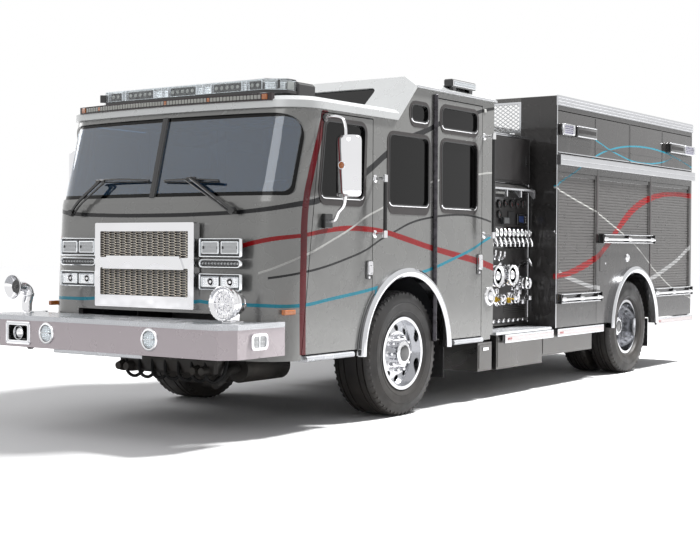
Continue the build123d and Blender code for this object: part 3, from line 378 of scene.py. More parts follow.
def surface(name, colour, metallic=0.0, rough=0.5, coat=0.0, grain=4.0, contrast=0.12, dust=0.0, dust_top=0.9,
            stripes=None, relief=None, flake=False, glow=0.0, clear=0.0, solid=None, ridges=0.0):
    """One procedural material: colour with wear, stripes and dust, and a relief from a named effect."""
    graph, shader = new_material(name)
    tone = linear(*colour)
    if stripes:
        marks = graph.group(stripes)
        striped = 0.0
        for label, mark in STRIPE_COLOURS:
            tone = graph.mix(marks[label], tone, linear(*mark))
            striped = graph.math("MAXIMUM", striped, marks[label])
    if ridges:
        # The ridges are drawn paler than the plate: a painted highlight on the ridge tops.
        tone = graph.mix(graph.group("tread_pattern", Pitch=ridges)["Ridge"], tone, linear(244, 245, 247))
    worn = graph.group("surface_wear", Colour=tone, Scale=grain, Contrast=contrast)
    tone = worn["Colour"]
    roughness = graph.spread(worn["Wear"], 0.3, 0.7, rough * 0.8, min(1.0, rough * 1.25))
    if stripes:
        graph.feed(shader.inputs["Metallic"], graph.spread(striped, 0.0, 1.0, metallic, 0.0))
        graph.feed(shader.inputs["Coat Weight"], graph.spread(striped, 0.0, 1.0, coat, 0.05))
        shader.inputs["Specular IOR Level"].default_value = 0.3
    else:
        shader.inputs["Metallic"].default_value = metallic
        shader.inputs["Coat Weight"].default_value = coat
    if flake:
        grains = graph.group("metal_flake")
        tone = graph.mix(graph.spread(grains["Flake"], 0.0, 1.0, 0.0, 0.02), tone, linear(235, 235, 240))
    if dust:
        dirt = graph.group("road_dust", Colour=tone, Top=dust_top, Amount=dust)
        tone = dirt["Colour"]
        roughness = graph.math("ADD", roughness, graph.math("MULTIPLY", dirt["Dust"], 0.5), clamp=True)
    graph.feed(shader.inputs["Base Color"], tone)
    graph.feed(shader.inputs["Roughness"], roughness)
    shader.inputs["Coat Roughness"].default_value = 0.04
    shader.inputs["Transmission Weight"].default_value = clear
    if glow:
        graph.feed(shader.inputs["Emission Color"], tone)
        shader.inputs["Emission Strength"].default_value = glow
    if relief:
        effect_name, socket, depth, inputs = relief
        height = graph.group(effect_name, **inputs)[socket]
        bump = graph.add("ShaderNodeBump", {"Height": height, "Distance": depth, "Strength": 1.0})
        graph.feed(shader.inputs["Normal"], bump.outputs[0])
    if solid:
        graph.feed(shader.inputs["Alpha"], graph.group("expanded_mesh", **solid)["Solid"])


def make_glass():
    """Windshield glass with a black printed border, and opaque near-black side windows. The windshield's blue
    is partly its tint and partly a painted sky reflection; the side windows' near-black is painted shade for
    the dark cab behind them.
    """
    for name in ("glass", "dark_glass"):
        graph, shader = new_material(name)
        place = graph.group("vehicle_place")
        # Blue: partly tint, partly painted sky reflection. Near-black: the printed border, and on the side
        # windows painted shade.
        worn = graph.group("surface_wear", Colour=linear(76, 116, 152), Scale=2.0, Contrast=0.06)
        shade = graph.group("surface_wear", Colour=linear(12, 11, 12), Scale=2.0, Contrast=0.3)
        clear = graph.math("LESS_THAN", place["Along"], -1.29) if name == "glass" else 0.0
        if name == "glass":
            edge = graph.group("windshield_border", Width=0.030)["Border"]
            clear = graph.math("MULTIPLY", clear, graph.math("SUBTRACT", 1.0, edge))
            shader.inputs["Transmission Weight"].default_value = 0.8
            graph.feed(shader.inputs["Coat Weight"], clear)
        graph.feed(shader.inputs["Base Color"], graph.mix(clear, shade["Colour"], worn["Colour"]))
        graph.feed(shader.inputs["Roughness"], graph.spread(worn["Wear"], 0.3, 0.7, 0.0, 0.03))
        shader.inputs["IOR"].default_value = 1.3
        shader.inputs["Coat IOR"].default_value = 1.9


def lens_relief(depth, pitch):
    return "lens_grid", "Relief", depth, {"Pitch": pitch}


def make_materials():
    surface("cab_paint", (134, 134, 132), 0.35, 0.26, 0.7, contrast=0.04, stripes="cab_stripes_and_shadow", flake=True,
            dust=0.03)
    surface("roof_paint", (222, 224, 224), 0.35, 0.28, 0.6, contrast=0.04)
    surface("body_paint", (60, 58, 57), 0.30, 0.26, 0.6, contrast=0.05, stripes="body_stripes", flake=True,
            dust=0.04)
    surface("bumper_paint", (184, 174, 178), 0.40, 0.26, 0.5, contrast=0.04, flake=True, dust=0.10)
    surface("shutter_alloy", (110, 108, 107), 0.45, 0.32, 0.0, stripes="body_stripes", grain=9, dust=0.06)
    surface("grille_strand", (206, 199, 188), 1.0, 0.14, grain=2, contrast=0.06)
    surface("lamp_bezel", (220, 221, 224), 0.50, 0.12, 0.8, grain=6, contrast=0.06)
    surface("lamp_chrome", (228, 230, 232), 1.0, 0.08, grain=2, contrast=0.05)
    # The glow is painted light: it brightens these unlit lenses in the shaded front.
    surface("pale_lens", (176, 178, 180), 0.3, 0.12, 0.8, glow=0.10, relief=lens_relief(0.002, 0.03))
    surface("pale_edge", (214, 204, 204), 0.5, 0.2, 0.3, grain=8, contrast=0.05)
    surface("chrome", (232, 232, 234), 1.0, 0.03, grain=2, contrast=0.06,
            relief=("pressed_ripple", "Ripple", 0.006, {"Scale": 7.0}))
    surface("polished_alloy", (206, 207, 210), 1.0, 0.12, grain=3, contrast=0.08, dust=0.10)
    surface("treadplate", (216, 218, 222), 0.40, 0.24, grain=6, dust=0.03, ridges=0.024,
            relief=("tread_pattern", "Ridge", 0.003, {"Pitch": 0.024}))
    surface("stainless", (104, 103, 102), 0.95, 0.30, grain=3,
            relief=("brushed_lines", "Lines", 0.0006, {"Stretch": (2.0, 2.0, 500.0)}), dust=0.08)
    surface("chassis_black", (34, 34, 35), 0.1, 0.45, grain=7, contrast=0.3, dust=0.35)
    surface("cast_grey", (60, 60, 60), 0.5, 0.55, grain=12, contrast=0.3, dust=0.3)
    surface("black_rail", (24, 24, 25), 0.0, 0.35, grain=30, relief=lens_relief(0.001, 0.012))
    surface("maroon_housing", (34, 14, 17), 0.2, 0.3, 0.4, grain=8)
    surface("window_rubber", (44, 38, 38), 0.2, 0.34, 0.3, grain=10, contrast=0.3)
    # Hinge strip: the strong mottle is painted reflection, and the dark tone is partly painted shade.
    surface("hinge_with_painted_reflection", (66, 64, 68), 0.85, 0.30, grain=24, contrast=0.9)
    surface("gloss_black", (16, 16, 18), 0.0, 0.15, 0.6, grain=4)
    surface("rubber", (26, 26, 27), 0.0, 0.7, grain=14, contrast=0.25)
    surface("tyre", (34, 33, 34), 0.0, 0.50, grain=10, contrast=0.2, dust=0.14, dust_top=1.1)
    surface("interior", (52, 53, 57), 0.0, 0.6, grain=10)
    surface("seat_fabric", (48, 49, 54), 0.0, 0.85, grain=60, contrast=0.3)
    surface("panel_black", (44, 42, 42), 0.3, 0.4, grain=6, dust=0.05)
    surface("lamp_lens", (206, 212, 216), 0.4, 0.10, 0.8, relief=lens_relief(0.004, 0.022))
    surface("violet_lens", (150, 148, 172), 0.6, 0.14, 0.6, relief=lens_relief(0.004, 0.016))
    # The glow is painted light: these reflectors shine though no lamp behind them is lit.
    surface("reflector", (236, 238, 240), 1.0, 0.07, glow=0.08, relief=lens_relief(0.003, 0.013))
    surface("clear_lens", (240, 244, 246), 0.0, 0.02, clear=1.0, contrast=0.03)
    surface("amber_lens", (226, 120, 24), 0.0, 0.08, 0.8, relief=lens_relief(0.002, 0.008))
    surface("red_lens", (176, 22, 24), 0.0, 0.08, 0.8, relief=lens_relief(0.002, 0.008))
    surface("led_white", (176, 176, 170), 0.2, 0.2, 0.5, glow=0.05)
    surface("dial_face", (70, 72, 74), 0.1, 0.25, 0.4)
    surface("white_plastic", (206, 206, 202), 0.0, 0.35)
    surface("yellow_cap", (206, 168, 48), 0.0, 0.4)
    surface("blue_cap", (34, 58, 110), 0.0, 0.4)
    surface("mesh_screen", (188, 190, 192), 0.9, 0.35, solid={"Width": 0.060, "Rise": 0.040})
    surface("mirror_glass", (232, 236, 238), 1.0, 0.01, contrast=0.02)
    make_glass()


# Building pieces

class Part:
    """One piece's faces, in metres with y counted from the front axle."""

    def __init__(self):
        self.mesh = bmesh.new()
        self.used = []

    def index(self, material):
        if material not in self.used:
            self.used.append(material)
        return self.used.index(material)

    def face(self, corners, slot):
        self.mesh.faces.new(corners).material_index = slot

    def points(self, places):
        return [self.mesh.verts.new(place) for place in places]

    def box(self, x0, x1, y0, y1, z0, z1, material, chamfer=0.0, turn=None):
        """A box, its edges cut by the chamfer, turned about its middle by (axis, degrees)."""
        slot = self.index(material)
        middle = Vector(((x0 + x1) / 2, (y0 + y1) / 2, (z0 + z1) / 2))
        half = (abs(x1 - x0) / 2, abs(y1 - y0) / 2, abs(z1 - z0) / 2)
        spin = Matrix.Rotation(radians(turn[1]), 3, turn[0]) if turn else Matrix.Identity(3)
        corners = {}
        signs = [(a, b, c) for a in (-1, 1) for b in (-1, 1) for c in (-1, 1)]
        for sign in signs:
            for axis in range(3) if chamfer else (0,):
                place = Vector([s * (h if k == axis or not chamfer else h - chamfer)
                                for k, (s, h) in enumerate(zip(sign, half))])
                corners[sign, axis] = self.mesh.verts.new(middle + spin @ place)
            if not chamfer:
                corners[sign, 1] = corners[sign, 2] = corners[sign, 0]
        for axis in range(3):
            others = [k for k in range(3) if k != axis]
            for end in (-1, 1):
                loop = []
                for a, b in ((-1, -1), (1, -1), (1, 1), (-1, 1)):
                    sign = [0, 0, 0]
                    sign[axis], sign[others[0]], sign[others[1]] = end, a, b
                    loop.append(corners[tuple(sign), axis])
                self.face(loop, slot)
            if chamfer:
                for a in (-1, 1):
                    for b in (-1, 1):
                        ends = []
                        for end in (-1, 1):
                            sign = [0, 0, 0]
                            sign[axis], sign[others[0]], sign[others[1]] = end, a, b
                            ends.append(tuple(sign))
                        self.face([corners[ends[0], others[0]], corners[ends[1], others[0]],
                                   corners[ends[1], others[1]], corners[ends[0], others[1]]], slot)
        if chamfer:
            for sign in signs:
                self.face([corners[sign, axis] for axis in range(3)], slot)

    def spot(self, axis, u, v, w):
        """A point from its two coordinates in a plane and its place along the axis across that plane."""
        return {"X": (w, u, v), "Y": (u, w, v), "Z": (u, v, w)}[axis]

    def loft(self, rings, material, closed=False):
        """Join rings of as many places each. The last joins the first, or both ends are faces."""
        slot = self.index(material)
        rings = [self.points(ring) for ring in rings]
        for first, second in zip(rings, rings[1:] + rings[:1] if closed else rings[1:]):
            for k in range(len(first)):
                n = (k + 1) % len(first)
                self.face([first[k], first[n], second[n], second[k]], slot)
        if not closed:
            self.face(rings[0], slot)
            self.face(rings[-1], slot)

    def prism(self, outline, axis, start, end, material):
        self.loft([[self.spot(axis, u, v, w) for u, v in outline] for w in (start, end)], material)

    def frame(self, outer, inner, axis, start, end, material):
        """A flat ring between two outlines with as many corners each."""
        self.loft([[self.spot(axis, u, v, w) for u, v in outline] for outline,
                   w in ((outer, start), (outer, end), (inner, end), (inner, start))], material, True)

    def lathe(self, profile, centre, axis, material, steps=40, closed=False):
        """Turn (place along the axis, radius) points round the centre."""
        turns = [2 * pi * k / steps for k in range(steps)]
        self.loft([[Vector(centre) + Vector(self.spot(axis, radius * cos(turn), radius * sin(turn), along))
                    for turn in turns] for along, radius in profile], material, closed)

    def tube(self, path, radius, material, steps=12, rounds=4):
        """A round bar along a path whose corners are drawn out into curves."""
        path = [Vector(p) for p in path]
        line = []
        for k in range(len(path) - 1):
            before, a, b = path[max(k - 1, 0)], path[k], path[k + 1]
            after = path[min(k + 2, len(path) - 1)]
            for step in range(rounds):
                t = step / rounds
                line.append(0.5 * (2 * a + (b - before) * t + (2 * before - 5 * a + 4 * b - after) * t ** 2
                                   + (3 * a - before - 3 * b + after) * t ** 3))
        line.append(path[-1])
        rings = []
        side = None
        for k, place in enumerate(line):
            run = (line[min(k + 1, len(line) - 1)] - line[max(k - 1, 0)]).normalized()
            if side is None:
                side = run.orthogonal().normalized()
            side = (side - run * side.dot(run)).normalized()
            other = run.cross(side)
            rings.append([place + radius * (cos(2 * pi * n / steps) * side + sin(2 * pi * n / steps) * other)
                          for n in range(steps)])
        self.loft(rings, material)

    def place(self, name, body, slot=None, replaces=(), mirrored=False):
        mesh = bpy.data.meshes.new(name)
        made = self.mesh.copy()
        if mirrored:
            bmesh.ops.scale(made, vec=(-1, 1, 1), verts=made.verts)
        bmesh.ops.recalc_face_normals(made, faces=made.faces)
        bmesh.ops.translate(made, vec=(0, AXLE_Y, 0), verts=made.verts)
        made.to_mesh(mesh)
        made.free()
        for material in self.used:
            mesh.materials.append(MATERIALS[material])
        mesh.polygons.foreach_set("use_smooth", [True] * len(mesh.polygons))
        mesh.set_sharp_from_angle(angle=SHARP)
        piece = add_object(name, mesh)
        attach(piece, body)
        if replaces:
            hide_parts(*replaces)

    def place_pair(self, name, body, slot=None, replaces=()):
        """Place the piece on the left and its mirror image on the right. {hand} stands for the side."""
        for hand, mirrored in (("left", False), ("right", True)):
            self.place(f"{name}_{hand}", body.format(hand=hand), slot,
                       [node.format(hand=hand) for node in replaces], mirrored)

    def place_both(self, name, body, slot, replaced):
        """Place the piece and its mirror image. The left one replaces the CAD node that holds both."""
        self.place(name + "_left", body, slot, [replaced])
        self.place(name + "_right", body, slot, mirrored=True)


def round_rect(u0, u1, v0, v1, radius):
    steps = 5
    corners = ((u1 - radius, v0 + radius, -90), (u1 - radius, v1 - radius, 0),
               (u0 + radius, v1 - radius, 90), (u0 + radius, v0 + radius, 180))
    return [(u + radius * cos(radians(start + 90 * k / steps)),
             v + radius * sin(radians(start + 90 * k / steps))) for u, v,
            start in corners for k in range(steps + 1)]


def inset(outline, by):
    """Move each edge of a convex outline, given anticlockwise, inward."""
    count = len(outline)
    moved = []
    for k in range(count):
        before, here, after = (Vector(outline[(k + d) % count]) for d in (-1, 0, 1))
        first, second = (here - before).normalized(), (after - here).normalized()
        normal_1, normal_2 = Vector((-first.y, first.x)), Vector((-second.y, second.x))
        middle = normal_1 + normal_2
        moved.append(tuple(here + middle * (by * 2 / middle.length_squared)))
    return moved


def rounded(outline, radius, steps=5):
    """Round the corners of a convex outline given anticlockwise."""
    count = len(outline)
    inner = inset(outline, radius)
    points = []
    for k in range(count):
        before, here, after = (Vector(outline[(k + d) % count]) for d in (-1, 0, 1))
        first, second = (here - before).normalized(), (after - here).normalized()
        start, end = Vector((first.y, -first.x)), Vector((second.y, -second.x))
        for step in range(steps + 1):
            normal = start.slerp(end, step / steps) if start.angle(end) > 1e-4 else start
            points.append(tuple(Vector(inner[k]) + radius * normal))
    return points


# Wheels and tyres

def make_wheels():
    """Tyres with ribs and shoulder lugs, and nut covers, a hub cap, a chrome ring and studs on the discs."""
    def tyre_profile(part, x0, x1, rim_x1, y):
        half, mid = (x1 - x0) / 2, (x0 + x1) / 2
        side = [(rim_x1 - 0.014 - mid, 0.290), (rim_x1 - 0.014 - mid, 0.306), (half - 0.016, 0.322),
                (half - 0.004, 0.345), (half - 0.001, 0.352), (half - 0.004, 0.358), (half, 0.385),
                (half, 0.420), (half - 0.003, 0.424), (half, 0.428), (half - 0.006, 0.455),
                (half - 0.014, 0.470), (half - 0.016, 0.490), (half - 0.026, 0.506), (half - 0.040, 0.5145),
                (half - 0.060, 0.5195), (half - 0.066, 0.5205), (half - 0.068, 0.508), (half - 0.076, 0.508),
                (half - 0.078, 0.5214), (half - 0.122, 0.5218), (half - 0.124, 0.508), (half - 0.134, 0.508),
                (half - 0.136, 0.5218)]
        right = [(mid + x, r) for x, r in side]
        left = [(mid - x, r) for x, r in reversed(side)]
        part.lathe(right + left, (0, y, WHEEL_Z), "X", "tyre", steps=96, closed=True)
        for k in range(54):
            turn = 2 * pi * k / 54
            for sign in (-1, 1):
                x = mid + sign * (half - 0.030)
                spin = Matrix.Rotation(turn, 3, "X")
                slot = part.index("tyre")
                corners = []
                for dx, dy, r in ((-0.014, -0.013, 0.504), (0.014, -0.013, 0.489), (0.014, 0.013, 0.489),
                                  (-0.014, 0.013, 0.504), (-0.014, -0.009, 0.5208), (0.0145, -0.009, 0.5055),
                                  (0.0145, 0.009, 0.5055), (-0.014, 0.009, 0.5208)):
                    place = spin @ Vector((0, dy, r))
                    corners.append(Vector((x + sign * dx, y + place.y, WHEEL_Z + place.z)))
                made = part.points(corners)
                for loop in ((0, 1, 2, 3), (4, 5, 6, 7), (0, 1, 5, 4), (1, 2, 6, 5), (2, 3, 7, 6),
                             (3, 0, 4, 7)):
                    part.face([made[n] for n in loop], slot)

    front = Part()
    tyre_profile(front, 0.857, 1.242, 1.228, 0.0)
    front.place_pair("front_tyre_tread", "front_wheel_{hand}", "tyre", ["front_tyre_{hand}"])
    rear = Part()
    tyre_profile(rear, 0.945, 1.235, 1.198, WHEELBASE)
    tyre_profile(rear, 0.610, 0.900, 0.872, WHEELBASE)
    rear.place_pair("rear_tyre_tread", "rear_wheel_{hand}", "tyre", ["rear_tyre_{hand}"])

    for name, y, face_x, hub_x in (("front", 0.0, 1.165, 1.245), ("rear", WHEELBASE, 0.940, 1.112)):
        part = Part()
        for k in range(10):
            turn = radians(36 * k)
            at = (face_x, y + 0.143 * cos(turn), WHEEL_Z + 0.143 * sin(turn))
            part.lathe([(0.0, 0.024), (0.006, 0.024), (0.008, 0.017), (0.040, 0.0155), (0.048, 0.011),
                        (0.050, 0.002)], at, "X", "chrome", steps=14)
        hub = (0, y, WHEEL_Z)
        part.lathe([(hub_x - 0.002, 0.068), (hub_x + 0.002, 0.064), (hub_x + 0.004, 0.040),
                    (hub_x + 0.004, 0.002)], hub, "X", "gloss_black", steps=32)
        part.lathe([(hub_x - 0.022, 0.103), (hub_x - 0.012, 0.101), (hub_x - 0.004, 0.086),
                    (hub_x - 0.004, 0.060), (hub_x - 0.022, 0.060)], hub, "X", "chrome", steps=40,
                   closed=True)
        for k in range(8):
            turn = radians(45 * k)
            at = (hub_x - 0.010, y + 0.090 * cos(turn), WHEEL_Z + 0.090 * sin(turn))
            part.lathe([(0.0, 0.006), (0.006, 0.006), (0.007, 0.002)], at, "X", "chrome", steps=8)
        part.place_pair(f"{name}_wheel_nuts", "%s_wheel_{hand}" % name, "chrome")


# Front of the cab

def make_grille():
    """Two panels of flattened hexagons in front of a black screen, which is painted shade for the dark space
    behind the grille.
    """
    part = Part()
    for z0, z1 in ((1.019, 1.235), (1.316, 1.520)):
        def limit(u, v):
            return max(-0.464, min(0.464, u)), max(z0 + 0.001, min(z1 - 0.001, v))
        # The black screen is painted shade behind the mesh.
        part.box(-0.464, 0.464, -1.7965, -1.7925, z0 + 0.001, z1 - 0.001, "gloss_black")
        slot = part.index("grille_strand")
        pitch, rise = 0.058, 0.0196
        columns = int(0.47 / pitch) + 1
        for column in range(-columns, columns + 1):
            x = column * pitch
            shift = rise / 2 if column % 2 else 0.0
            rows = int((z1 - z0) / rise) + 2
            for row in range(rows):
                z = z0 + row * rise + shift
                if abs(x) > 0.468 or z > z1 + 0.004 or z < z0 - 0.004:
                    continue
                outer = [(pitch * 2 / 3, 0), (pitch / 3, rise / 2), (-pitch / 3, rise / 2),
                         (-pitch * 2 / 3, 0), (-pitch / 3, -rise / 2), (pitch / 3, -rise / 2)]
                rims = []
                for shrink_u, shrink_v, y in ((1.0, 1.0, -1.8080), (0.90, 0.78, -1.8095),
                                              (0.88, 0.74, -1.7990)):
                    rims.append(part.points([Vector((a, y, b)) for a, b in
                                             (limit(x + u * shrink_u, z + v * shrink_v) for u, v in outer)]))
                for first, second in zip(rims, rims[1:]):
                    for k in range(6):
                        n = (k + 1) % 6
                        part.face([first[k], first[n], second[n], second[k]], slot)
    part.place("grille_mesh", "cab", "chrome")


def make_headlamps():
    part = Part()
    # Bright rings round each pair of lamps and round the turn lamp
    for z0, z1, radius in ((1.323, 1.470, 0.016), (1.244, 1.312, 0.033), (1.076, 1.206, 0.016)):
        ring = round_rect(0.548, 0.956, z0, z1, radius)
        part.loft([[(x, y, z) for x, z in outline] for outline, y in (
            (ring, -1.770), (ring, -1.788), (inset(ring, 0.004), -1.796), (inset(ring, 0.009), -1.797),
            (inset(ring, 0.0135), -1.790), (inset(ring, 0.0145), -1.770))], "lamp_chrome", closed=True)
        part.prism(inset(ring, 0.013), "Y", -1.777, -1.7705, "gloss_black")
    for x0, x1 in ((0.572, 0.742), (0.762, 0.932)):
        # Warning lamps above, headlamps below
        for z0, z1, lens in ((1.347, 1.446, "pale_lens"), (1.098, 1.184, "reflector")):
            outer = round_rect(x0, x1, z0, z1, 0.012)
            part.loft([[(x, y, z) for x, z in outline] for outline,
                       y in ((outer, -1.776), (outer, -1.788), (inset(outer, 0.004), -1.794),
                             (inset(outer, 0.010), -1.792), (inset(outer, 0.013), -1.782),
                             (inset(outer, 0.013), -1.776))], "lamp_chrome", closed=True)
            part.prism(inset(outer, 0.012), "Y", -1.784, -1.778, lens)
        for x in (x0 + 0.017, x1 - 0.017):
            part.box(x - 0.004, x + 0.004, -1.789, -1.783, 1.386, 1.407, "gloss_black", 0.001)
        middle = (x0 + x1) / 2
        part.lathe([(-1.789, 0.002), (-1.789, 0.010), (-1.785, 0.013), (-1.7845, 0.020), (-1.7845, 0.024),
                    (-1.790, 0.029), (-1.790, 0.032), (-1.784, 0.034)], (middle, 0, 1.141), "Y", "chrome",
                   steps=24)
        part.lathe([(-1.7855, 0.014), (-1.7855, 0.0235)], (middle, 0, 1.141), "Y", "gloss_black", steps=24)
    for k in range(12):
        x = 0.582 + k * 0.0309
        part.lathe([(-1.790, 0.003), (-1.789, 0.007), (-1.783, 0.0095), (-1.776, 0.0095)], (x, 0, 1.278), "Y",
                   "pale_lens", steps=12)
    part.place_both("headlamps", "cab", "chrome", "headlamp_bezels")


def make_bumper_fittings():
    part = Part()
    # Round lamps with a split reflector
    for x in (-0.540, 0.540):
        at = (x, 0, 0.732)
        part.lathe([(-2.310, 0.084), (-2.317, 0.083), (-2.3215, 0.076), (-2.3205, 0.066), (-2.312, 0.061),
                    (-2.300, 0.061), (-2.300, 0.084)], at, "Y", "chrome", closed=True)
        part.lathe([(-2.266, 0.004), (-2.268, 0.030), (-2.280, 0.050), (-2.300, 0.061), (-2.250, 0.070)],
                   at, "Y", "reflector")
        part.lathe([(-2.312, 0.060), (-2.318, 0.040), (-2.320, 0.002)], at, "Y", "clear_lens")
        part.box(x - 0.060, x + 0.060, -2.314, -2.300, 0.728, 0.736, "chrome", 0.002)
    # Square lamp: screws on the frame and a ball in a dark recess
    outer = round_rect(-1.000, -0.720, 0.635, 0.812, 0.020)
    inner = round_rect(-0.968, -0.752, 0.664, 0.783, 0.012)
    part.frame(outer, inner, "Y", -2.3175, -2.300, "chrome")
    part.frame(round_rect(-0.988, -0.732, 0.648, 0.801, 0.012),
               round_rect(-0.974, -0.746, 0.658, 0.789, 0.010), "Y", -2.3205, -2.315, "polished_alloy")
    part.box(-0.972, -0.748, -2.262, -2.256, 0.660, 0.787, "gloss_black")
    for wall in ((-0.975, -0.968, 0.660, 0.787), (-0.752, -0.745, 0.660, 0.787),
                 (-0.972, -0.748, 0.657, 0.664), (-0.972, -0.748, 0.783, 0.790)):
        part.box(wall[0], wall[1], -2.302, -2.256, wall[2], wall[3], "gloss_black")
    part.lathe([(-2.316, 0.003), (-2.313, 0.020), (-2.304, 0.036), (-2.290, 0.046), (-2.270, 0.048),
                (-2.262, 0.040)], (-0.860, 0, 0.724), "Y", "chrome", steps=28)
    part.lathe([(-2.312, 0.050), (-2.314, 0.056), (-2.300, 0.058), (-2.298, 0.050)], (-0.860, 0, 0.724), "Y",
               "polished_alloy", steps=32, closed=True)
    for x in (-0.992, -0.728):
        for z in (0.650, 0.797):
            part.lathe([(-2.3175, 0.007), (-2.3205, 0.006), (-2.3215, 0.002)], (x, 0, z), "Y",
                       "polished_alloy", steps=10)
    # Side lamps: an oval chrome ring with a clear ribbed lens
    for sign in (-1, 1):
        ring_x = sided(sign, 1.272, 1.288)
        part.frame(round_rect(-2.062, -1.878, 0.672, 0.790, 0.034),
                   round_rect(-2.044, -1.896, 0.690, 0.772, 0.024), "X", *ring_x, "chrome")
        lens_x = sided(sign, 1.272, 1.282)
        part.prism(round_rect(-2.045, -1.895, 0.689, 0.773, 0.024), "X", *lens_x, "pale_lens")
        part.box(*sided(sign, 1.280, 1.286), -1.975, -1.965, 0.690, 0.772,
                 "chrome", 0.002)
    # Siren
    at = (1.050, 0, 1.000)
    part.lathe([(-2.086, 0.004), (-2.086, 0.030), (-2.080, 0.034), (-2.080, 0.052), (-2.090, 0.056),
                (-2.090, 0.066), (-2.080, 0.070), (-2.080, 0.084), (-2.092, 0.088), (-2.096, 0.104),
                (-2.108, 0.112), (-2.113, 0.118), (-2.108, 0.124), (-2.090, 0.122), (-2.082, 0.110),
                (-2.060, 0.117), (-2.048, 0.112), (-2.040, 0.102), (-2.020, 0.106), (-2.000, 0.098),
                (-1.990, 0.090), (-1.950, 0.086), (-1.930, 0.080), (-1.905, 0.064), (-1.892, 0.040),
                (-1.888, 0.004)], at, "Y", "chrome", steps=56)
    for k in range(28):
        turn = 2 * pi * k / 28
        part.box(at[0] + 0.118 * cos(turn) - 0.006, at[0] + 0.118 * cos(turn) + 0.006, -2.112, -2.086,
                 at[2] + 0.118 * sin(turn) - 0.006, at[2] + 0.118 * sin(turn) + 0.006, "chrome", 0.002,
                 ("Y", -360 * k / 28))
    for k in range(6):
        part.box(at[0] - 0.100, at[0] + 0.100, -2.100, -2.096, at[2] - 0.0025, at[2] + 0.0025, "chrome", 0.0,
                 ("Y", 30 * k))
    part.lathe([(-2.104, 0.003), (-2.102, 0.016), (-2.094, 0.020), (-2.086, 0.020)], at, "Y", "chrome",
               steps=20)
    part.box(1.005, 1.095, -2.060, -1.920, 0.858, 0.872, "chrome", 0.004)
    part.box(1.025, 1.075, -2.040, -1.940, 0.866, 0.925, "chrome", 0.004)
    # Air horn with its elbow
    at = (-1.160, 0, 1.070)
    part.lathe([(-2.112, 0.088), (-2.120, 0.094), (-2.118, 0.098), (-2.110, 0.096), (-2.085, 0.070),
                (-2.065, 0.052), (-2.045, 0.044), (-2.040, 0.038), (-2.060, 0.044), (-2.085, 0.062),
                (-2.104, 0.082)], at, "Y", "chrome", steps=40, closed=True)
    part.lathe([(-2.075, 0.062), (-2.074, 0.020), (-2.084, 0.014), (-2.090, 0.003)], at, "Y", "gloss_black",
               steps=32)
    part.tube([(-1.160, -2.050, 1.070), (-1.158, -1.990, 1.064), (-1.145, -1.960, 1.020),
               (-1.135, -1.985, 0.940), (-1.132, -1.990, 0.862)], 0.042, "chrome", steps=20, rounds=6)
    part.lathe([(0.858, 0.060), (0.868, 0.058), (0.876, 0.046)], (-1.132, -1.990, 0), "Z", "chrome", steps=28)
    part.lathe([(1.000, 0.047), (1.006, 0.050), (1.022, 0.050), (1.028, 0.047)], (-1.143, -1.966, -0.01), "Z",
               "chrome", steps=28)
    part.place("bumper_lamps_siren_horn", "chassis", "chrome", ["bumper_fittings"])

    strip = Part()
    strip.box(-0.46, 0.46, -2.312, -2.300, 0.588, 0.614, "treadplate", 0.003)
    for x in (-0.75, 0.75):
        strip.lathe([(0.600, 0.020), (0.608, 0.026), (0.616, 0.026)], (x, -2.285, 0), "Z", "chassis_black",
                    steps=16)
    strip.place("bumper_under_strip", "chassis", "treadplate")


# A point of the windshield's plane, its lean, and what a step along its normal takes off y
GLASS_Y, GLASS_Z = -1.735, 1.74
GLASS_LEAN, GLASS_OUT = 0.2521, 1.031


def windshield_y(z, out):
    """The windshield plane's y at a height, moved out along its normal."""
    return GLASS_Y + (z - GLASS_Z) * GLASS_LEAN - out * GLASS_OUT


def make_windshield_trims():
    """A black bar over the post between the two panes."""
    part = Part()
    lean = 14.15
    for half, out, thick in ((0.027, 0.003, 0.008), (0.012, 0.006, 0.008)):
        middle = 2.098
        part.box(-half, half, windshield_y(middle, out) - thick / 2, windshield_y(middle, out) + thick / 2,
                 middle - 0.327, middle + 0.327, "gloss_black", 0.003, ("X", -lean))
    part.place("windshield_bar", "cab", "rubber")


def make_wipers():
    part = Part()
    for pivot_x, elbow_x, blade in ((-0.871, -0.575, (-0.640, -0.050)), (0.840, 0.400, (0.110, 0.668))):
        pivot = (pivot_x, -1.756, 1.672)
        part.lathe([(-1.775, 0.004), (-1.773, 0.026), (-1.752, 0.030), (-1.735, 0.030)], (pivot_x, 0, 1.672),
                   "Y", "gloss_black", steps=18)
        lean = 0.035 if elbow_x > pivot_x else -0.035
        part.tube([pivot, ((pivot_x * 2 + elbow_x) / 3, -1.762, 1.765), (elbow_x, -1.722, 1.925)], 0.0135,
                  "gloss_black", steps=8, rounds=3)
        part.tube([(pivot_x + lean, -1.752, 1.668), ((pivot_x * 2 + elbow_x) / 3 + lean, -1.755, 1.755),
                   (elbow_x + lean * 1.6, -1.722, 1.915)], 0.008, "gloss_black", steps=8, rounds=3)
        part.box(elbow_x - 0.045, elbow_x + 0.045, -1.724, -1.704, 1.908, 1.934, "gloss_black", 0.004)
        low = 1.930 if elbow_x < 0 else 1.912
        part.tube([(blade[0], -1.703, low), ((blade[0] + blade[1]) / 2, -1.712, low + 0.004),
                   (blade[1], -1.703, low - 0.012)], 0.0085, "gloss_black", steps=8)
        part.tube([(blade[0], -1.694, low - 0.012), (blade[1], -1.694, low - 0.024)], 0.0055, "rubber",
                  steps=6)
    part.place("wipers", "cab", "rubber")


# Roof

ROOF_BOW = 7.0


def roof_edge_y(x, out):
    """Where the low roof's crowned front edge is at x, moved out by so much."""
    radius = ROOF_BOW + out
    return -1.556 - out + radius - sqrt(radius ** 2 - x ** 2)


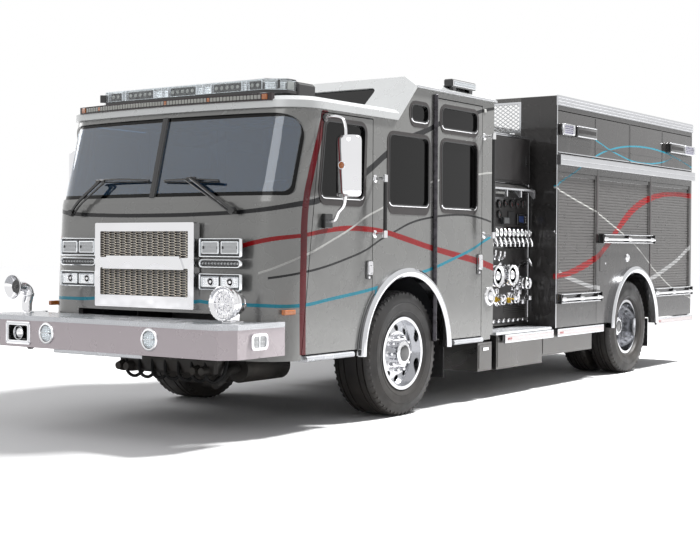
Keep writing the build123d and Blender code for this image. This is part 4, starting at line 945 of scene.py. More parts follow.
def make_lightbar():
    """A clear housing with silver backs, and dark lamp modules set apart along its front."""
    part = Part()
    plan = [(-0.985, -1.165), (-0.985, -1.275), (-0.850, -1.390), (0.850, -1.390), (0.985, -1.275),
            (0.985, -1.165)]
    part.prism(plan, "Z", 2.580, 2.604, "gloss_black")
    part.prism(inset(plan, 0.014), "Z", 2.604, 2.608, "reflector")
    part.prism(inset(plan, 0.062), "Z", 2.604, 2.672, "reflector")
    part.prism(inset(plan, 0.004), "Z", 2.680, 2.690, "clear_lens")
    part.frame(inset(plan, 0.001), inset(plan, 0.005), "Z", 2.604, 2.684, "clear_lens")
    # Dark modules with a row of lamps each, and bright dividers between the modules
    for x0, x1 in ((-0.80, -0.69), (-0.60, -0.33), (-0.13, 0.13), (0.33, 0.60), (0.69, 0.80)):
        for y, out in ((-1.366, -1), (-1.189, 1)):
            part.box(x0, x1, y - 0.010, y + 0.010, 2.610, 2.674, "gloss_black", 0.003)
            count = max(2, int((x1 - x0) / 0.045))
            for k in range(count):
                x = x0 + (x1 - x0) * (k + 0.5) / count
                lamp_y = y + out * 0.010
                part.lathe([(lamp_y, 0.016), (lamp_y + out * 0.004, 0.013), (lamp_y + out * 0.006, 0.003)],
                           (x, 0, 2.642), "Y", "led_white", steps=12)
    for x in (-0.82, -0.665, -0.62, -0.31, -0.22, -0.15, 0.15, 0.22, 0.31, 0.62, 0.665, 0.82):
        part.box(x - 0.004, x + 0.004, -1.384, -1.352, 2.606, 2.682, "chrome", 0.001)
        part.box(x - 0.004, x + 0.004, -1.203, -1.171, 2.606, 2.682, "chrome", 0.001)
    for sign in (-1, 1):
        x0, x1 = sided(sign, 0.905, 0.921)
        part.box(x0, x1, -1.370, -1.250, 2.610, 2.674, "gloss_black", 0.003, ("Z", sign * 49.6))
        x0, x1 = sided(sign, 0.962, 0.972)
        part.box(x0, x1, -1.262, -1.180, 2.612, 2.672, "led_white", 0.003)
        x0, x1 = sided(sign, 0.650, 0.750)
        part.box(x0, x1, -1.330, -1.190, 2.540, 2.582, "polished_alloy", 0.004)
    part.place("lightbar", "cab", "lamp_lens", ["roof_equipment"])


def make_marker_strip():
    """A housing along the roof's front edge with a row of small lamps, some of them amber."""
    part = Part()
    steps = 48
    edges = []
    for out in (0.036, 0.0):
        edges.append([(x, roof_edge_y(x, out)) for x in (-1.020 + 2.040 * k / steps
            for k in range(steps + 1))])
    slot = part.index("maroon_housing")
    rings = [part.points([Vector((x, y, z)) for x, y in edges[side]])
             for side, z in ((0, 2.500), (0, 2.556), (1, 2.556), (1, 2.500))]
    for a in range(4):
        first, second = rings[a], rings[(a + 1) % 4]
        for k in range(steps):
            part.face([first[k], first[k + 1], second[k + 1], second[k]], slot)
    for end in (0, -1):
        part.face([ring[end] for ring in rings], slot)
    count = 60
    amber = (5, 30, 44)
    for k in range(count):
        x = -0.930 + 1.860 * (k + 0.5) / count
        y = roof_edge_y(x, 0.036)
        turn = ("Z", x / ROOF_BOW * 180 / pi)
        part.box(x - 0.0148, x + 0.0148, y - 0.0035, y + 0.004, 2.508, 2.548, "gloss_black", 0.0, turn)
        part.box(x - 0.0125, x + 0.0125, y - 0.0055, y - 0.002, 2.513, 2.543,
                 "amber_lens" if k in amber else "led_white", 0.001, turn)
    for sign in (-1, 1):
        x = sign * 0.962
        y = roof_edge_y(x, 0.036)
        part.box(x - 0.024, x + 0.024, y - 0.010, y + 0.006, 2.508, 2.548, "amber_lens", 0.004,
                 ("Z", sign * 8))
    part.place("marker_strip", "cab", "lamp_lens")


def make_roof_boxes():
    part = Part()
    part.box(-0.900, 0.900, -1.030, -0.800, 2.515, 2.690, "gloss_black", 0.012)
    part.box(-0.880, 0.880, -1.020, -0.810, 2.688, 2.700, "chassis_black", 0.004)
    for x in (-0.6, 0.0, 0.6):
        part.box(x - 0.02, x + 0.02, -1.034, -1.028, 2.60, 2.66, "chrome", 0.002)
    part.place("roof_box", "cab", "chassis_black")

    # Scene lights on the raised roof
    part = Part()
    part.box(1.150, 1.240, 0.750, 1.180, 2.822, 2.892, "gloss_black", 0.010)
    part.box(1.238, 1.246, 0.765, 1.165, 2.832, 2.882, "chrome", 0.003)
    part.box(1.243, 1.249, 0.780, 1.150, 2.838, 2.876, "lamp_lens", 0.002)
    for y in (0.82, 1.11):
        part.box(1.170, 1.225, y - 0.03, y + 0.03, 2.780, 2.826, "gloss_black", 0.004)
    part.place_pair("scene_light", "cab", "lamp_lens")

    # Drip strip under the raised roof's eave
    part = Part()
    part.box(1.268, 1.276, 0.13, 1.515, 2.752, 2.768, "polished_alloy", 0.002)
    part.place_pair("eave_strip", "cab", "polished_alloy")


def make_underbody():
    """Engine sump, crossmember, hoses and an exhaust, all well inside the wheels' turning room."""
    part = Part()
    part.box(-0.300, 0.260, -1.300, -0.420, 0.330, 0.560, "cast_grey", 0.040)
    part.box(-0.240, 0.200, -1.240, -0.480, 0.300, 0.335, "cast_grey", 0.015)
    part.box(-0.520, 0.520, -1.560, -1.440, 0.400, 0.540, "chassis_black", 0.020)
    for x in (-0.470, -0.380, 0.330, 0.420):
        part.lathe([(-1.620, 0.030), (-1.560, 0.046), (-1.470, 0.046), (-1.430, 0.030)], (x, 0, 0.440), "Y",
                   "cast_grey", steps=18)
    for k in range(7):
        x = -0.440 + 0.140 * k
        part.tube([(x, -1.540, 0.520), (x + 0.050, -1.590, 0.400), (x + 0.110, -1.560, 0.360),
                   (x + 0.150, -1.500, 0.420), (x + 0.130, -1.440, 0.520)], 0.014, "rubber", steps=8,
                  rounds=4)
    part.lathe([(-1.160, 0.110), (-1.150, 0.116), (-0.620, 0.116), (-0.610, 0.110)], (0.400, 0, 0.430), "Y",
               "cast_grey", steps=24)
    part.tube([(0.400, -1.160, 0.430), (0.420, -1.300, 0.420), (0.450, -1.420, 0.360),
               (0.455, -1.500, 0.330)], 0.036, "cast_grey", steps=14)
    part.place("front_underbody", "chassis", "chassis_black")


# Cab sides

FRONT_DOOR_WINDOW = [(-1.218, 1.782), (-0.633, 1.782), (-0.607, 2.370), (-1.145, 2.370)]
SIDE_WINDOWS = [
    ("fixed_window", "cab", (-0.270, 0.350, 1.750, 2.335), 0.046),
    ("upper_fixed_window", "cab", (0.062, 0.340, 2.462, 2.612), 0.020),
    ("rear_door_window", "rear_door_{hand}", (0.560, 1.180, 1.750, 2.335), 0.020),
    ("upper_door_window", "rear_door_{hand}", (0.556, 1.184, 2.440, 2.628), 0.016),
]


def window_frame(part, outline, below, bright_end):
    """A black frame round a window, deeper below it, and a bright lip along its lower inner edge."""
    opening = rounded(outline, 0.060, 6)
    low_edge = min(z for y, z in outline)
    outer = [(y, z - below * max(0.0, 1 - (z - low_edge + 0.024) / 0.10)) for y,
             z in rounded(inset(outline, -0.026), 0.090, 6)]
    part.frame(outer, opening, "X", 1.236, 1.2535, "window_rubber")
    part.frame(opening, rounded(inset(outline, 0.010), 0.050, 6), "X", 1.236, 1.2560, "gloss_black")
    lip = [(1.2545, y, z) for y, z in rounded(inset(outline, -0.004), 0.060, 6) if z < low_edge + bright_end]
    lip.sort(key=lambda place: place[1])
    part.tube(lip, 0.0048, "chrome", steps=8, rounds=1)


def make_window_trims():
    part = Part()
    window_frame(part, FRONT_DOOR_WINDOW, 0.032, 0.030)
    part.place_pair("front_door_window_frame", "front_door_{hand}", "rubber")
    for name, body, (y0, y1, z0, z1), below in SIDE_WINDOWS:
        part = Part()
        window_frame(part, [(y0, z0), (y1, z0), (y1, z1), (y0, z1)], below, 0.030)
        part.place_pair(name + "_frame", body, "rubber")


def add_latch(part, cup, paddle, grip, lock):
    """A paddle in a dark cup, with a grip on it and a lock below."""
    part.prism(round_rect(*cup, 0.018), "X", 1.250, 1.256, "gloss_black")
    part.prism(round_rect(*paddle, 0.014), "X", 1.256, 1.272, "chrome")
    part.box(1.262, 1.284, *grip, "chrome", 0.006)
    part.lathe([(1.256, 0.012), (1.262, 0.011), (1.263, 0.002)], (0, *lock), "X", "chrome", steps=16)


def make_mirrors():
    part = Part()
    middle, front = 1.450, -1.122
    rings = []
    for z, size in ((1.781, 0.60), (1.785, 0.78), (1.794, 0.91), (1.810, 0.98), (1.832, 1.0), (2.198, 1.0),
                    (2.220, 0.98), (2.236, 0.91), (2.245, 0.78), (2.249, 0.60)):
        bow = [(middle + 0.1045 * size * cos(radians(a)), front - 0.076 * size * sin(radians(a)), z)
               for a in range(0, 181, 10)]
        rings.append([(bow[0][0], -1.104, z)] + bow + [(bow[-1][0], -1.104, z)])
    part.loft(rings, "chrome")
    back = round_rect(middle - 0.098, middle + 0.098, 1.792, 2.238, 0.040)
    part.frame(back, inset(back, 0.012), "Y", -1.105, -1.0955, "gloss_black")
    part.prism(round_rect(middle - 0.087, middle + 0.087, 1.950, 2.226, 0.030), "Y", -1.105, -1.098,
               "mirror_glass")
    part.prism(round_rect(middle - 0.087, middle + 0.087, 1.804, 1.940, 0.030), "Y", -1.105, -1.098,
               "mirror_glass")
    lamp = (1.439, 0, 2.018)
    part.lathe([(-1.197, 0.025), (-1.203, 0.025), (-1.210, 0.018), (-1.213, 0.004)], lamp, "Y", "amber_lens",
               steps=24)
    part.lathe([(-1.192, 0.026), (-1.203, 0.026), (-1.203, 0.030), (-1.192, 0.031)], lamp, "Y", "chrome",
               steps=24, closed=True)
    arm_y = -1.145
    part.tube([(1.252, arm_y - 0.01, 2.387), (1.330, arm_y - 0.004, 2.392), (1.405, arm_y, 2.372),
               (1.432, arm_y, 2.310), (1.436, arm_y, 2.245)], 0.013, "chrome", steps=12, rounds=5)
    part.tube([(1.284, arm_y, 1.600), (1.340, arm_y, 1.612), (1.372, arm_y, 1.668), (1.420, arm_y, 1.716),
               (1.436, arm_y, 1.785)], 0.013, "chrome", steps=12, rounds=5)
    part.box(1.250, 1.290, -1.198, -1.098, 1.548, 1.658, "gloss_black", 0.006)
    part.lathe([(1.250, 0.034), (1.260, 0.032), (1.266, 0.020)], (0, arm_y - 0.01, 2.387), "X", "gloss_black",
               steps=20)
    add_latch(part, (-0.595, -0.515, 1.150, 1.300), (-0.588, -0.522, 1.185, 1.293),
              (-0.578, -0.532, 1.196, 1.262), (-0.555, 1.166))
    part.place_pair("mirror_and_latch", "front_door_{hand}", "chrome", ["front_door_{hand}_fittings"])

    part = Part()
    add_latch(part, (1.190, 1.268, 1.160, 1.350), (1.197, 1.261, 1.205, 1.343),
              (1.206, 1.252, 1.216, 1.300), (1.229, 1.182))
    part.place_pair("rear_door_latch", "rear_door_{hand}", "chrome", ["rear_door_{hand}_handle"])


def make_cab_trims():
    part = Part()
    for y, z0, z1 in ((-0.470, 1.490, 1.975), (1.315, 1.500, 2.440)):
        part.lathe([(z0, 0.016), (z1, 0.016)], (1.350, y, 0), "Z", "black_rail", steps=18)
        for z in (z0 + 0.020, z1 - 0.020):
            part.tube([(1.250, y, z), (1.300, y, z), (1.352, y, z)], 0.0145, "chrome", steps=14, rounds=2)
            part.lathe([(1.250, 0.032), (1.256, 0.031), (1.264, 0.018)], (0, y, z), "X", "chrome", steps=22)
            part.lathe([(z - 0.030, 0.017), (z - 0.028, 0.0205), (z + 0.028, 0.0205), (z + 0.030, 0.017)],
                       (1.350, y, 0), "Z", "chrome", steps=20)
    part.place_both("grab_rails", "cab", "black_rail", "grab_rails")

    # Hinge strip between the fixed window and the rear door: its strong mottle is painted reflection, and its
    # dark tone is partly painted shade
    part = Part()
    part.lathe([(0.600, 0.020), (0.604, 0.024), (2.716, 0.024), (2.720, 0.020)], (1.256, 0.445, 0), "Z",
               "hinge_with_painted_reflection", steps=36)
    part.place_pair("rear_door_hinge_cover", "rear_door_{hand}", "cab_paint")

    # Round chrome inlet low at the cab's rear
    part = Part()
    part.lathe([(1.250, 0.090), (1.262, 0.088), (1.270, 0.076), (1.270, 0.066), (1.254, 0.060),
                (1.254, 0.050)], (0, 1.430, 0.960), "X", "chrome", steps=36)
    part.lathe([(1.2545, 0.058), (1.2548, 0.002)], (0, 1.430, 0.960), "X", "gloss_black", steps=30)
    part.lathe([(1.254, 0.040), (1.276, 0.038), (1.282, 0.028), (1.284, 0.003)], (0, 1.430, 0.960), "X",
               "chrome", steps=28)
    part.place_pair("cab_side_inlet", "cab", "chrome")

    # Marker lamp at the cab's front corner, and a cap high at its rear
    part = Part()
    part.box(1.225, 1.257, -1.650, -1.512, 0.904, 0.942, "amber_lens", 0.005)
    part.box(1.250, 1.259, 1.300, 1.345, 2.640, 2.672, "white_plastic", 0.004)
    part.place_pair("cab_small_trims", "cab", "cab_paint")


# Pump panel

PANEL = 0.960
# Inlets and outlets: (y, z, radius, where the cap starts)
PORTS = ((2.185, 1.141, 0.088, 1.085), (1.890, 1.136, 0.088, 1.085), (2.590, 1.050, 0.055, 1.040),
         (1.760, 0.940, 0.055, 1.040), (2.360, 0.905, 0.045, 1.030), (2.080, 0.900, 0.045, 1.030))


def add_ports(part):
    for y, z, radius, reach in PORTS:
        at = (0, y, z)
        part.lathe([(PANEL, radius * 1.40), (PANEL + 0.012, radius * 1.40), (PANEL + 0.018, radius * 1.08),
                    (reach - 0.046, radius * 0.98), (reach - 0.040, radius * 1.14),
                    (reach - 0.026, radius * 1.16), (reach - 0.020, radius * 1.02),
                    (reach - 0.004, radius * 1.02), (reach, radius * 1.18)], at, "X", "chrome", steps=36)
        # Cap: a bright rim round a black hollow with a domed middle; the hollow's black is a painted
        # reflection, the dark look of a chrome dish that mirrors dark surroundings
        part.lathe([(reach, radius * 1.19), (reach + 0.018, radius * 1.19), (reach + 0.025, radius * 1.10),
                    (reach + 0.024, radius * 0.98), (reach + 0.006, radius * 0.86),
                    (reach + 0.004, radius * 0.60)], at, "X", "chrome", steps=36)
        part.lathe([(reach + 0.0065, radius * 0.84), (reach + 0.0065, radius * 0.50)], at, "X", "gloss_black",
                   steps=30)
        part.lathe([(reach + 0.006, radius * 0.50), (reach + 0.014, radius * 0.44),
                    (reach + 0.020, radius * 0.26), (reach + 0.022, radius * 0.03)], at, "X", "chrome",
                   steps=30)
        for k in range(8):
            turn = radians(45 * k + 10)
            bolt = (PANEL + 0.012, y + radius * 1.27 * cos(turn), z + radius * 1.27 * sin(turn))
            part.lathe([(0.0, 0.007), (0.007, 0.007), (0.008, 0.002)], bolt, "X", "polished_alloy", steps=6)
        # Lugs for the wrench, and a lanyard from the cap to the panel
        for k in range(3 if radius > 0.08 else 2):
            turn = radians(120 * k + 35 if radius > 0.08 else 180 * k + 35)
            lug = (y + radius * 1.17 * cos(turn), z + radius * 1.17 * sin(turn))
            half = radius * 0.14
            part.box(reach - 0.004, reach + 0.020, lug[0] - half, lug[0] + half, lug[1] - half, lug[1] + half,
                     "chrome", 0.003, ("X", 120 * k + 35))
        part.tube([(reach + 0.004, y + radius * 1.18, z - radius * 0.3),
                   (reach - 0.02, y + radius * 1.34, z - radius * 0.9),
                   (PANEL + 0.03, y + radius * 1.30, z - radius * 1.05),
                   (PANEL + 0.005, y + radius * 1.25, z - radius * 0.7)], 0.0025, "chassis_black", steps=6)


def add_valve_handles(part):
    """Two rows over a dark strip: upright rings above, slanted grips below."""
    part.box(PANEL + 0.010, PANEL + 0.014, 1.620, 2.720, 1.400, 1.615, "gloss_black", 0.001)
    for z, first, pitch in ((1.553, 1.700, 0.086), (1.462, 1.668, 0.092)):
        for k in range(12):
            y = first + pitch * k
            part.lathe([(PANEL + 0.014, 0.019), (PANEL + 0.022, 0.018), (PANEL + 0.026, 0.009),
                        (1.031, 0.0075)], (0, y, z), "X", "chrome", steps=14)
            if z > 1.5:
                ring = [(1.038, y + 0.021 * cos(radians(a)), z + 0.030 * sin(radians(a)))
                        for a in range(0, 361, 30)]
                part.tube(ring, 0.0085, "chrome", steps=8, rounds=1)
                part.box(1.044, 1.047, y - 0.008, y + 0.008, z - 0.010, z + 0.010, "white_plastic", 0.001)
            else:
                part.tube([(1.036, y - 0.018, z + 0.038), (1.044, y, z), (1.036, y + 0.018, z - 0.038)],
                          0.012, "chrome", steps=10, rounds=3)
                for end in (-1, 1):
                    part.lathe([(-0.010, 0.004), (-0.006, 0.0125), (0.006, 0.0125), (0.010, 0.004)],
                               (1.036, y + end * 0.018, z - end * 0.038), "Z", "chrome", steps=10)


def add_gauges(part):
    """Round gauges above the handles, a dark display and a grey switch box."""
    for y, z, radius in [(1.720, 1.800, 0.075), (1.930, 1.800, 0.075), (2.120, 1.835, 0.045),
                         (2.120, 1.735, 0.040)] + [(2.250 + 0.120 * k, 1.845, 0.040) for k in range(4)]:
        part.lathe([(PANEL + 0.008, radius), (PANEL + 0.026, radius), (PANEL + 0.030, radius - 0.006),
                    (PANEL + 0.026, radius - 0.011), (PANEL + 0.012, radius - 0.011)], (0, y, z), "X",
                   "cast_grey", steps=32, closed=True)
        part.lathe([(PANEL + 0.012, radius - 0.010), (PANEL + 0.018, radius - 0.010),
                    (PANEL + 0.0182, 0.002)], (0, y, z), "X", "panel_black", steps=28)
        part.lathe([(PANEL + 0.0185, radius * 0.62), (PANEL + 0.0192, radius * 0.62),
                    (PANEL + 0.0193, 0.002)], (0, y, z), "X", "dial_face", steps=24)
        turn = 35.0 + 40.0 * sin(y * 31)
        part.box(PANEL + 0.019, PANEL + 0.021, y - 0.0015, y + 0.0015, z - radius * 0.55, z + radius * 0.55,
                 "red_lens", 0.0, ("X", turn))
    part.box(PANEL + 0.008, PANEL + 0.030, 2.475, 2.680, 1.640, 1.745, "gloss_black", 0.005)
    part.box(PANEL + 0.030, PANEL + 0.032, 2.500, 2.600, 1.662, 1.725, "blue_cap", 0.001)
    for k in range(3):
        part.lathe([(PANEL + 0.030, 0.009), (PANEL + 0.036, 0.008), (PANEL + 0.037, 0.002)],
                   (0, 2.650, 1.665 + 0.027 * k), "X", "chrome", steps=12)
    part.box(PANEL + 0.008, PANEL + 0.055, 2.150, 2.262, 1.640, 1.705, "dial_face", 0.006)
    part.box(PANEL + 0.008, PANEL + 0.020, 2.300, 2.430, 1.645, 1.770, "chassis_black", 0.003)
    for k in range(4):
        part.box(PANEL + 0.010, PANEL + 0.013, 1.640, 2.700, 1.895 - 0.012 * k, 1.897 - 0.012 * k,
                 "polished_alloy")


def add_small_fittings(part):
    """Levers, a drain line with its valve, plugs and the row of drain knobs along the foot."""
    for y, z, lean in ((1.700, 1.345, 0.03), (1.960, 1.345, 0.03), (2.055, 1.335, 0.03),
                       (2.140, 1.330, 0.03)):
        part.lathe([(PANEL, 0.026), (PANEL + 0.010, 0.025), (PANEL + 0.014, 0.012), (PANEL + 0.050, 0.010)],
                   (0, y, z - 0.030), "X", "chrome", steps=16)
        part.tube([(PANEL + 0.050, y, z - 0.032), (PANEL + 0.070, y - lean / 2, z),
                   (PANEL + 0.078, y - lean, z + 0.026)], 0.010, "chrome", steps=10, rounds=3)
        part.lathe([(-0.016, 0.006), (-0.010, 0.015), (0.012, 0.015), (0.018, 0.006)],
                   (PANEL + 0.078, y - lean, z + 0.026), "Z", "chrome", steps=12)
    part.tube([(PANEL + 0.04, 2.330, 1.180), (PANEL + 0.07, 2.399, 1.215), (PANEL + 0.07, 2.469, 1.250),
               (PANEL + 0.07, 2.560, 1.272), (PANEL + 0.06, 2.600, 1.250), (PANEL + 0.01, 2.610, 1.220)],
              0.011, "gloss_black", steps=10, rounds=4)
    part.tube([(PANEL + 0.075, 2.628, 1.302), (PANEL + 0.080, 2.662, 1.262), (PANEL + 0.075, 2.690, 1.228)],
              0.0115, "chrome", steps=10, rounds=3)
    part.lathe([(PANEL, 0.020), (PANEL + 0.070, 0.012)], (0, 2.662, 1.262), "X", "chrome", steps=14)
    plugs = ((1.690, 1.200, "chrome"), (1.640, 1.080, "chrome"), (2.000, 0.985, "chrome"),
             (2.256, 0.890, "yellow_cap"), (1.992, 0.905, "yellow_cap"), (2.470, 0.962, "chrome"),
             (2.536, 0.867, "chrome"), (2.690, 0.900, "chrome"), (1.880, 0.900, "blue_cap"),
             (2.420, 1.010, "chrome"), (1.660, 0.860, "blue_cap"))
    for y, z, cap in plugs:
        part.lathe([(PANEL, 0.032), (PANEL + 0.010, 0.031), (PANEL + 0.014, 0.020), (PANEL + 0.040, 0.020),
                    (PANEL + 0.042, 0.027), (PANEL + 0.062, 0.027), (PANEL + 0.066, 0.003)], (0, y, z), "X",
                   cap, steps=20)
        part.box(PANEL + 0.062, PANEL + 0.078, y - 0.005, y + 0.005, z - 0.022, z + 0.022, cap, 0.002)
    for k in range(11):
        y = 1.640 + 0.102 * k
        part.lathe([(PANEL + 0.006, 0.016), (PANEL + 0.012, 0.015), (PANEL + 0.016, 0.007),
                    (PANEL + 0.040, 0.007), (PANEL + 0.044, 0.018), (PANEL + 0.056, 0.018),
                    (PANEL + 0.060, 0.004)], (0, y, 0.690), "X", "chrome", steps=14)
    for k in range(4):
        part.box(PANEL + 0.004, PANEL + 0.012, 2.230, 2.700, 0.770 + 0.018 * k, 0.773 + 0.018 * k,
                 "stainless", 0.001)


def make_pump_panel():
    part = Part()
    part.box(PANEL, PANEL + 0.006, 1.590, 2.745, 0.655, 1.950, "panel_black", 0.002)
    part.box(PANEL + 0.005, PANEL + 0.010, 1.600, 2.735, 1.395, 1.920, "panel_black", 0.002)
    # Cabinet above: one plain door in a bright frame
    part.box(PANEL, 1.000, 1.600, 2.700, 2.050, 2.510, "panel_black", 0.004)
    part.box(0.999, 1.004, 1.622, 2.678, 2.070, 2.490, "panel_black", 0.003)
    part.box(1.003, 1.012, 2.600, 2.640, 2.230, 2.330, "gloss_black", 0.003)
    for y in (1.604, 2.696):
        part.box(0.998, 1.005, y - 0.004, y + 0.004, 2.052, 2.508, "cast_grey", 0.002)
    part.box(0.990, 1.006, 1.600, 2.700, 2.498, 2.512, "polished_alloy", 0.003)
    part.box(0.975, 1.003, 1.610, 2.690, 2.514, 2.530, "polished_alloy", 0.004)
    # Sloped hood over the gauges, with bright arms and a lamp bar under it
    part.prism([(PANEL, 2.048), (1.088, 1.986), (1.088, 1.975), (PANEL, 2.030)], "Y", 1.660, 2.640,
               "stainless")
    for y in (1.650, 2.060, 2.350, 2.640):
        part.prism([(PANEL, 2.048), (1.090, 1.985), (1.090, 1.905), (1.072, 1.900), (0.985, 2.000),
                    (PANEL, 2.000)], "Y", y, y + 0.018, "lamp_bezel")
    part.box(1.066, 1.092, 1.640, 2.660, 1.966, 1.990, "lamp_bezel", 0.006)
    part.tube([(PANEL + 0.010, 1.660, 2.052), (PANEL + 0.014, 2.650, 2.052)], 0.008, "chrome", steps=8)
    part.lathe([(1.880, 0.013), (2.048, 0.013)], (1.060, 0, 1.940), "Y", "white_plastic", steps=14)
    add_ports(part)
    add_valve_handles(part)
    add_gauges(part)
    add_small_fittings(part)
    for y in (1.600, 2.735):
        part.box(PANEL, PANEL + 0.020, y - 0.010, y + 0.010, 0.655, 2.048, "polished_alloy", 0.003)
    part.place_both("pump_panel", "chassis", "chrome", "pump_fittings")

    # Upright cover strips between cab, pump and body, and the top of the pump module
    part = Part()
    part.box(0.940, 1.010, 1.562, 1.588, 0.640, 2.440, "stainless", 0.004)
    part.box(0.300, 0.955, 1.570, 2.750, 2.440, 2.455, "treadplate", 0.003)
    part.box(0.70, 0.94, 1.70, 1.98, 2.452, 2.560, "white_plastic", 0.02)
    part.lathe([(2.455, 0.050), (2.500, 0.050), (2.520, 0.030), (2.560, 0.028)], (0.880, 2.560, 0), "Z",
               "chrome", steps=24)
    part.place_pair("pump_top", "chassis", "stainless")


# Compartment body

SHUTTERS = [(2.810, 3.725, 0.860), (3.775, 5.200, 1.500), (5.250, 6.480, 0.860)]
SHUTTER_TOP = 2.180
HATCHES = (("front", 2.790, 4.590), ("rear", 4.625, 6.520))


def make_shutters():
    """Slats with a bead on each, a bottom rail, side guides and the drum cover's strip."""
    part = Part()
    for y0, y1, z0 in SHUTTERS:
        pitch = 0.0305
        rows = int((SHUTTER_TOP - 0.045 - z0 - 0.060) / pitch)
        profile = [(1.2545, z0 + 0.060)]
        for row in range(rows):
            z = z0 + 0.060 + pitch * row
            profile += [(1.2540, z + 0.002), (1.2585, z + 0.006), (1.2605, z + 0.015), (1.2585, z + 0.024),
                        (1.2540, z + 0.028)]
        top = z0 + 0.060 + pitch * rows
        profile += [(1.2545, top), (1.2542, top), (1.2542, z0 + 0.060)]
        part.prism(profile, "Y", y0 + 0.022, y1 - 0.022, "shutter_alloy")
        part.box(1.2542, 1.268, y0 + 0.020, y1 - 0.020, z0 + 0.004, z0 + 0.058, "shutter_alloy", 0.004)
        part.box(1.2542, 1.264, y0 + 0.002, y1 - 0.002, SHUTTER_TOP - 0.045, SHUTTER_TOP - 0.001,
                 "body_paint", 0.003)
        for y in (y0, y1):
            side = (y + 0.001, y + 0.022) if y == y0 else (y - 0.022, y - 0.001)
            part.box(1.2542, 1.268, side[0], side[1], z0 + 0.001, SHUTTER_TOP - 0.001, "shutter_alloy", 0.002)
    part.place_pair("shutter_slats", "chassis", "shutter_alloy")

    part = Part()
    for y0, y1, z0 in SHUTTERS:
        edge = 0.016
        part.frame([(y0 - edge, z0 - edge), (y1 + edge, z0 - edge), (y1 + edge, SHUTTER_TOP + edge),
                    (y0 - edge, SHUTTER_TOP + edge)], [(y0 + 0.001, z0 + 0.001), (y1 - 0.001, z0 + 0.001),
            (y1 - 0.001, SHUTTER_TOP - 0.001), (y0 + 0.001, SHUTTER_TOP - 0.001)], "X", 1.262, 1.2725,
                   "body_paint")
        if y0 > 3:
            part.box(1.2700, 1.2745, y0 - 0.040, y0 - 0.012, z0 - 0.016, SHUTTER_TOP + 0.016,
                     "maroon_housing", 0.002)
    part.box(1.2705, 1.275, 2.764, 2.780, 0.600, 2.850, "polished_alloy", 0.002)
    part.place_pair("shutter_frames", "chassis", "body_paint")

    part = Part()
    for y in (-0.510, 0.510):
        part.box(y - 0.012, y + 0.012, 6.534, 6.556, 0.985, 1.655, "polished_alloy", 0.003)
    for row in range(17):
        z = 1.012 + 0.037 * row
        part.box(-0.498, 0.498, 6.534, 6.5395, z, z + 0.032, "shutter_alloy", 0.002)
    part.box(-0.500, 0.500, 6.534, 6.548, 0.984, 1.010, "polished_alloy", 0.003)
    part.place("rear_shutter_slats", "chassis", "shutter_alloy")


def make_hatch_trims():
    lamps = {"front": [(2.810, 3.070, "square"), (3.120, 3.610, "long")],
             "rear": [(5.690, 6.140, "long"), (6.165, 6.500, "square")]}
    for name, y0, y1 in HATCHES:
        part = Part()
        skin = 1.269
        mid = (y0 + y1) / 2
        part.box(skin, skin + 0.003, y0 + 0.01, y1 - 0.01, 2.468, 2.473, "gloss_black")
        part.box(skin, skin + 0.003, mid - 0.003, mid + 0.003, 2.378, 2.780, "gloss_black")
        part.box(skin, skin + 0.006, y0 + 0.002, y1 - 0.002, 2.370, 2.382, "polished_alloy", 0.002)
        for lamp_y0, lamp_y1, kind in lamps[name]:
            outer = round_rect(lamp_y0, lamp_y1, 2.547, 2.665, 0.022)
            inner = round_rect(lamp_y0 + 0.022, lamp_y1 - 0.022, 2.566, 2.646, 0.012)
            if kind == "square":
                part.loft([[(skin + out, y, z) for y, z in ring] for ring,
                           out in ((outer, 0.036), (outer, 0.055), (inset(outer, 0.006), 0.064),
                                   (inset(outer, 0.016), 0.062), (inner, 0.052), (inner, 0.045))],
                          "lamp_bezel", closed=True)
                part.prism(inner, "X", skin + 0.0415, skin + 0.0480, "violet_lens")
                for k in range(3):
                    z = 2.586 + 0.020 * k
                    part.box(skin + 0.047, skin + 0.0510, lamp_y0 + 0.03, lamp_y1 - 0.03, z - 0.002,
                             z + 0.002, "chrome")
            else:
                body = inset(outer, 0.003)
                part.loft([[(skin + out, y, z) for y, z in ring] for ring, out in (
                    (body, 0.036), (body, 0.052), (inset(body, 0.008), 0.062), (inset(body, 0.016), 0.064))],
                    "gloss_black")
                part.box(skin + 0.0620, skin + 0.0665, lamp_y0 + 0.040, lamp_y1 - 0.040, 2.585, 2.628,
                         "panel_black", 0.002)
                # Pale strips along the lamp body's top and bottom edges only: painted highlights where light
                # catches the black body.
                for z0, z1 in ((2.549, 2.563), (2.652, 2.664)):
                    part.box(skin + 0.040, skin + 0.066, lamp_y0 + 0.014, lamp_y1 - 0.014, z0, z1,
                             "lamp_bezel", 0.005)
        part.place_pair(f"hatch_{name}_trims", "hatch_%s_{hand}" % name, "chrome")


